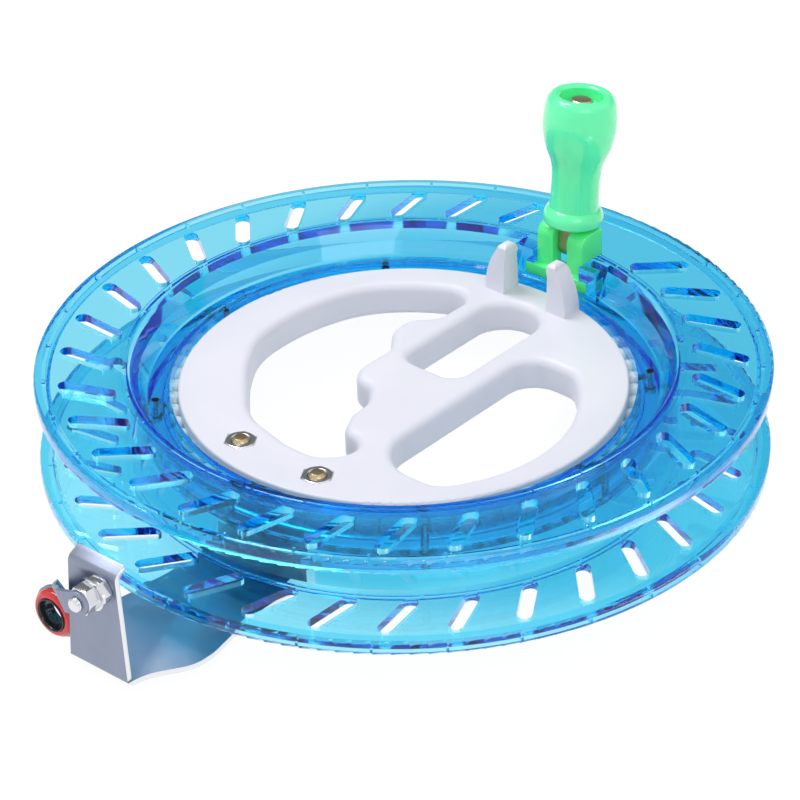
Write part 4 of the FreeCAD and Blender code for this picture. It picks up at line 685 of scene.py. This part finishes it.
def white_surface():
    """White that keeps the winder's shadow soft, with a painted blue shadow for looks through the wheel."""
    material, tree, output = new_material("white_table")
    path = add_node(tree, "ShaderNodeLightPath").outputs
    place = add_node(tree, "ShaderNodeTexCoord").outputs["Object"]
    away = add_node(tree, "ShaderNodeVectorMath", {"operation": "DISTANCE", 1: PAINTED_SHADE_AT}, {0: place})
    fade = add_node(tree, "ShaderNodeMapRange",
                    {"interpolation_type": "SMOOTHSTEP", "From Min": PAINTED_SHADE_RADIUS - PAINTED_SHADE_EDGE,
                     "From Max": PAINTED_SHADE_RADIUS + PAINTED_SHADE_EDGE}, {"Value": away.outputs["Value"]})
    # the painted blue shadow, faded out at its edge
    shade = add_node(tree, "ShaderNodeMix", {"data_type": "RGBA", COLOUR_A: PAINTED_SHADE, COLOUR_B: WHITE},
                     {"Factor": fade.outputs["Result"]})
    tint = add_node(tree, "ShaderNodeMix", {"data_type": "RGBA", COLOUR_A: WHITE},
                    {"Factor": path["Is Transmission Ray"], COLOUR_B: shade.outputs[MIXED_COLOUR]})
    from_highlight_patch = add_node(tree, "ShaderNodeVectorMath", {"operation": "DISTANCE", 1: HIGHLIGHT_PATCH_AT}, {0: place})
    # painted highlight, brighter only where glossy rays meet the table
    highlight_patch = add_node(tree, "ShaderNodeMapRange",
                    {"interpolation_type": "SMOOTHSTEP", "From Min": HIGHLIGHT_PATCH_RADIUS, "From Max": HIGHLIGHT_PATCH_FADED,
                     "To Min": HIGHLIGHT_PATCH_GLOW, "To Max": TABLE_GLOW}, {"Value": from_highlight_patch.outputs["Value"]})
    strength = add_node(tree, "ShaderNodeMix", {"data_type": "FLOAT", NUMBER_A: TABLE_GLOW},
                        {"Factor": path["Is Glossy Ray"], NUMBER_B: highlight_patch.outputs["Result"]})
    glow = add_node(tree, "ShaderNodeEmission", None,
                    {"Color": tint.outputs[MIXED_COLOUR], "Strength": strength.outputs[MIXED_NUMBER]})
    plain =add_node(tree, "ShaderNodeMath", {"operation": "MAXIMUM"},
                     {0: path["Is Camera Ray"], 1: path["Is Glossy Ray"]})
    seen = add_node(tree, "ShaderNodeMath", {"operation": "MAXIMUM"},
                    {0: plain.outputs[0], 1: path["Is Transmission Ray"]})
    share = add_node(tree, "ShaderNodeMath", {"operation": "MULTIPLY", 1: GLOW_SHARE}, {0: seen.outputs[0]})
    paper = add_node(tree, "ShaderNodeBsdfDiffuse", {"Color": PAPER})
    both = add_node(tree, "ShaderNodeMixShader", None,
                    {0: share.outputs[0], 1: paper.outputs[0], 2: glow.outputs[0]})
    tree.links.new(both.outputs[0], output.inputs["Surface"])
    return material


# %% [markdown]
# The winder lies on the table on two points, the inner end of the arm's flat floor and the far rim of
# the lower flange. So the table is tilted a little in the winder's own frame: it passes through the
# rim, and of all the arm's points it touches the one that asks for the greatest slope.

# %% Table under the winder
TABLE_SIZE = 8.0
wheel_low, wheel_high = (Vector(corner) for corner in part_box("wheel_lower_half"))
far_rim = Vector((0.0, wheel_high.y, wheel_low.z))
slope = max((far_rim.z - vertex.co.z) / (far_rim.y - vertex.co.y) for vertex in arm.data.vertices)
below_origin = Vector((0.0, 0.0, far_rim.z - slope * far_rim.y))
bpy.ops.mesh.primitive_plane_add(size=TABLE_SIZE, location=below_origin, rotation=(math.atan(slope), 0, 0))
table = bpy.context.object
table.name = "table"
dress(table, white_surface())
print("table tilted by", round(math.degrees(math.atan(slope)), 2), "degrees")

# %% [markdown]
# The room is white to the eye, also through the wheel. It lights the winder a little less than that,
# so that pale surfaces keep their shades. What glossy faces mirror is dimmed on the side that the
# camera looks towards, as in a studio whose far end is dark. A room that is white all round would lay
# a pale haze over the wheel.

# %% White room
TO_THE_FAR_END = (-0.66, 0.751, 0.0)    # the level direction that the camera looks in
ROOM_LIGHT = 0.75
MIRRORED_NEAR, MIRRORED_FAR = 0.9, 0.18
DIMMING_STARTS, DIMMING_ENDS = 0.1, 0.75     # share of a direction that points to the far end

world = bpy.data.worlds.new("studio")
scene.world = world
world.use_nodes = True
room = world.node_tree
room.nodes.clear()
path = add_node(room, "ShaderNodeLightPath").outputs
direction = add_node(room, "ShaderNodeTexCoord").outputs["Generated"]
farness = add_node(room, "ShaderNodeVectorMath",
                   {"operation": "DOT_PRODUCT", 1: TO_THE_FAR_END}, {0: direction})
dimmed = add_node(room, "ShaderNodeMapRange",
                  {"interpolation_type": "SMOOTHSTEP", "From Min": DIMMING_STARTS, "From Max": DIMMING_ENDS,
                   "To Min": MIRRORED_NEAR, "To Max": MIRRORED_FAR}, {"Value": farness.outputs["Value"]})
seen = add_node(room, "ShaderNodeBackground", {"Color": WHITE, "Strength": 1.0})
soft = add_node(room, "ShaderNodeBackground", {"Color": WHITE, "Strength": ROOM_LIGHT})
mirrored = add_node(room, "ShaderNodeBackground", {"Color": WHITE}, {"Strength": dimmed.outputs["Result"]})
unseen = add_node(room, "ShaderNodeMixShader", None,
                  {0: path["Is Glossy Ray"], 1: soft.outputs[0], 2: mirrored.outputs[0]})
looks = add_node(room, "ShaderNodeMath", {"operation": "MAXIMUM"},
                 {0: path["Is Camera Ray"], 1: path["Is Transmission Ray"]})
shown = add_node(room, "ShaderNodeMixShader", None,
                 {0: looks.outputs[0], 1: unseen.outputs[0], 2: seen.outputs[0]})
add_node(room, "ShaderNodeOutputWorld", None, {"Surface": shown.outputs[0]})
print("room lit at", ROOM_LIGHT)

# %% [markdown]
# Two soft boxes give the winder its shape: a key light high up to the camera's left and a weaker,
# larger fill beside the camera. Large and weak lamps leave soft shadows and don't burn out the pale
# plate.

# %% Soft boxes
def area_light(name, at, power, size):
    """A square soft box that points at the winder's middle."""
    data = bpy.data.lights.new(name, "AREA")
    data.energy = power
    data.size = size
    lamp = bpy.data.objects.new(name, data)
    scene.collection.objects.link(lamp)
    lamp.location = at
    lamp.rotation_euler = (-Vector(at)).to_track_quat("-Z", "Y").to_euler()
    print(name, power, "W,", size, "m wide")


area_light("key_softbox", (-0.5, -0.1, 1.0), power=6.0, size=0.5)
area_light("fill_softbox", (0.9, -0.5, 0.8), power=2.5, size=0.7)
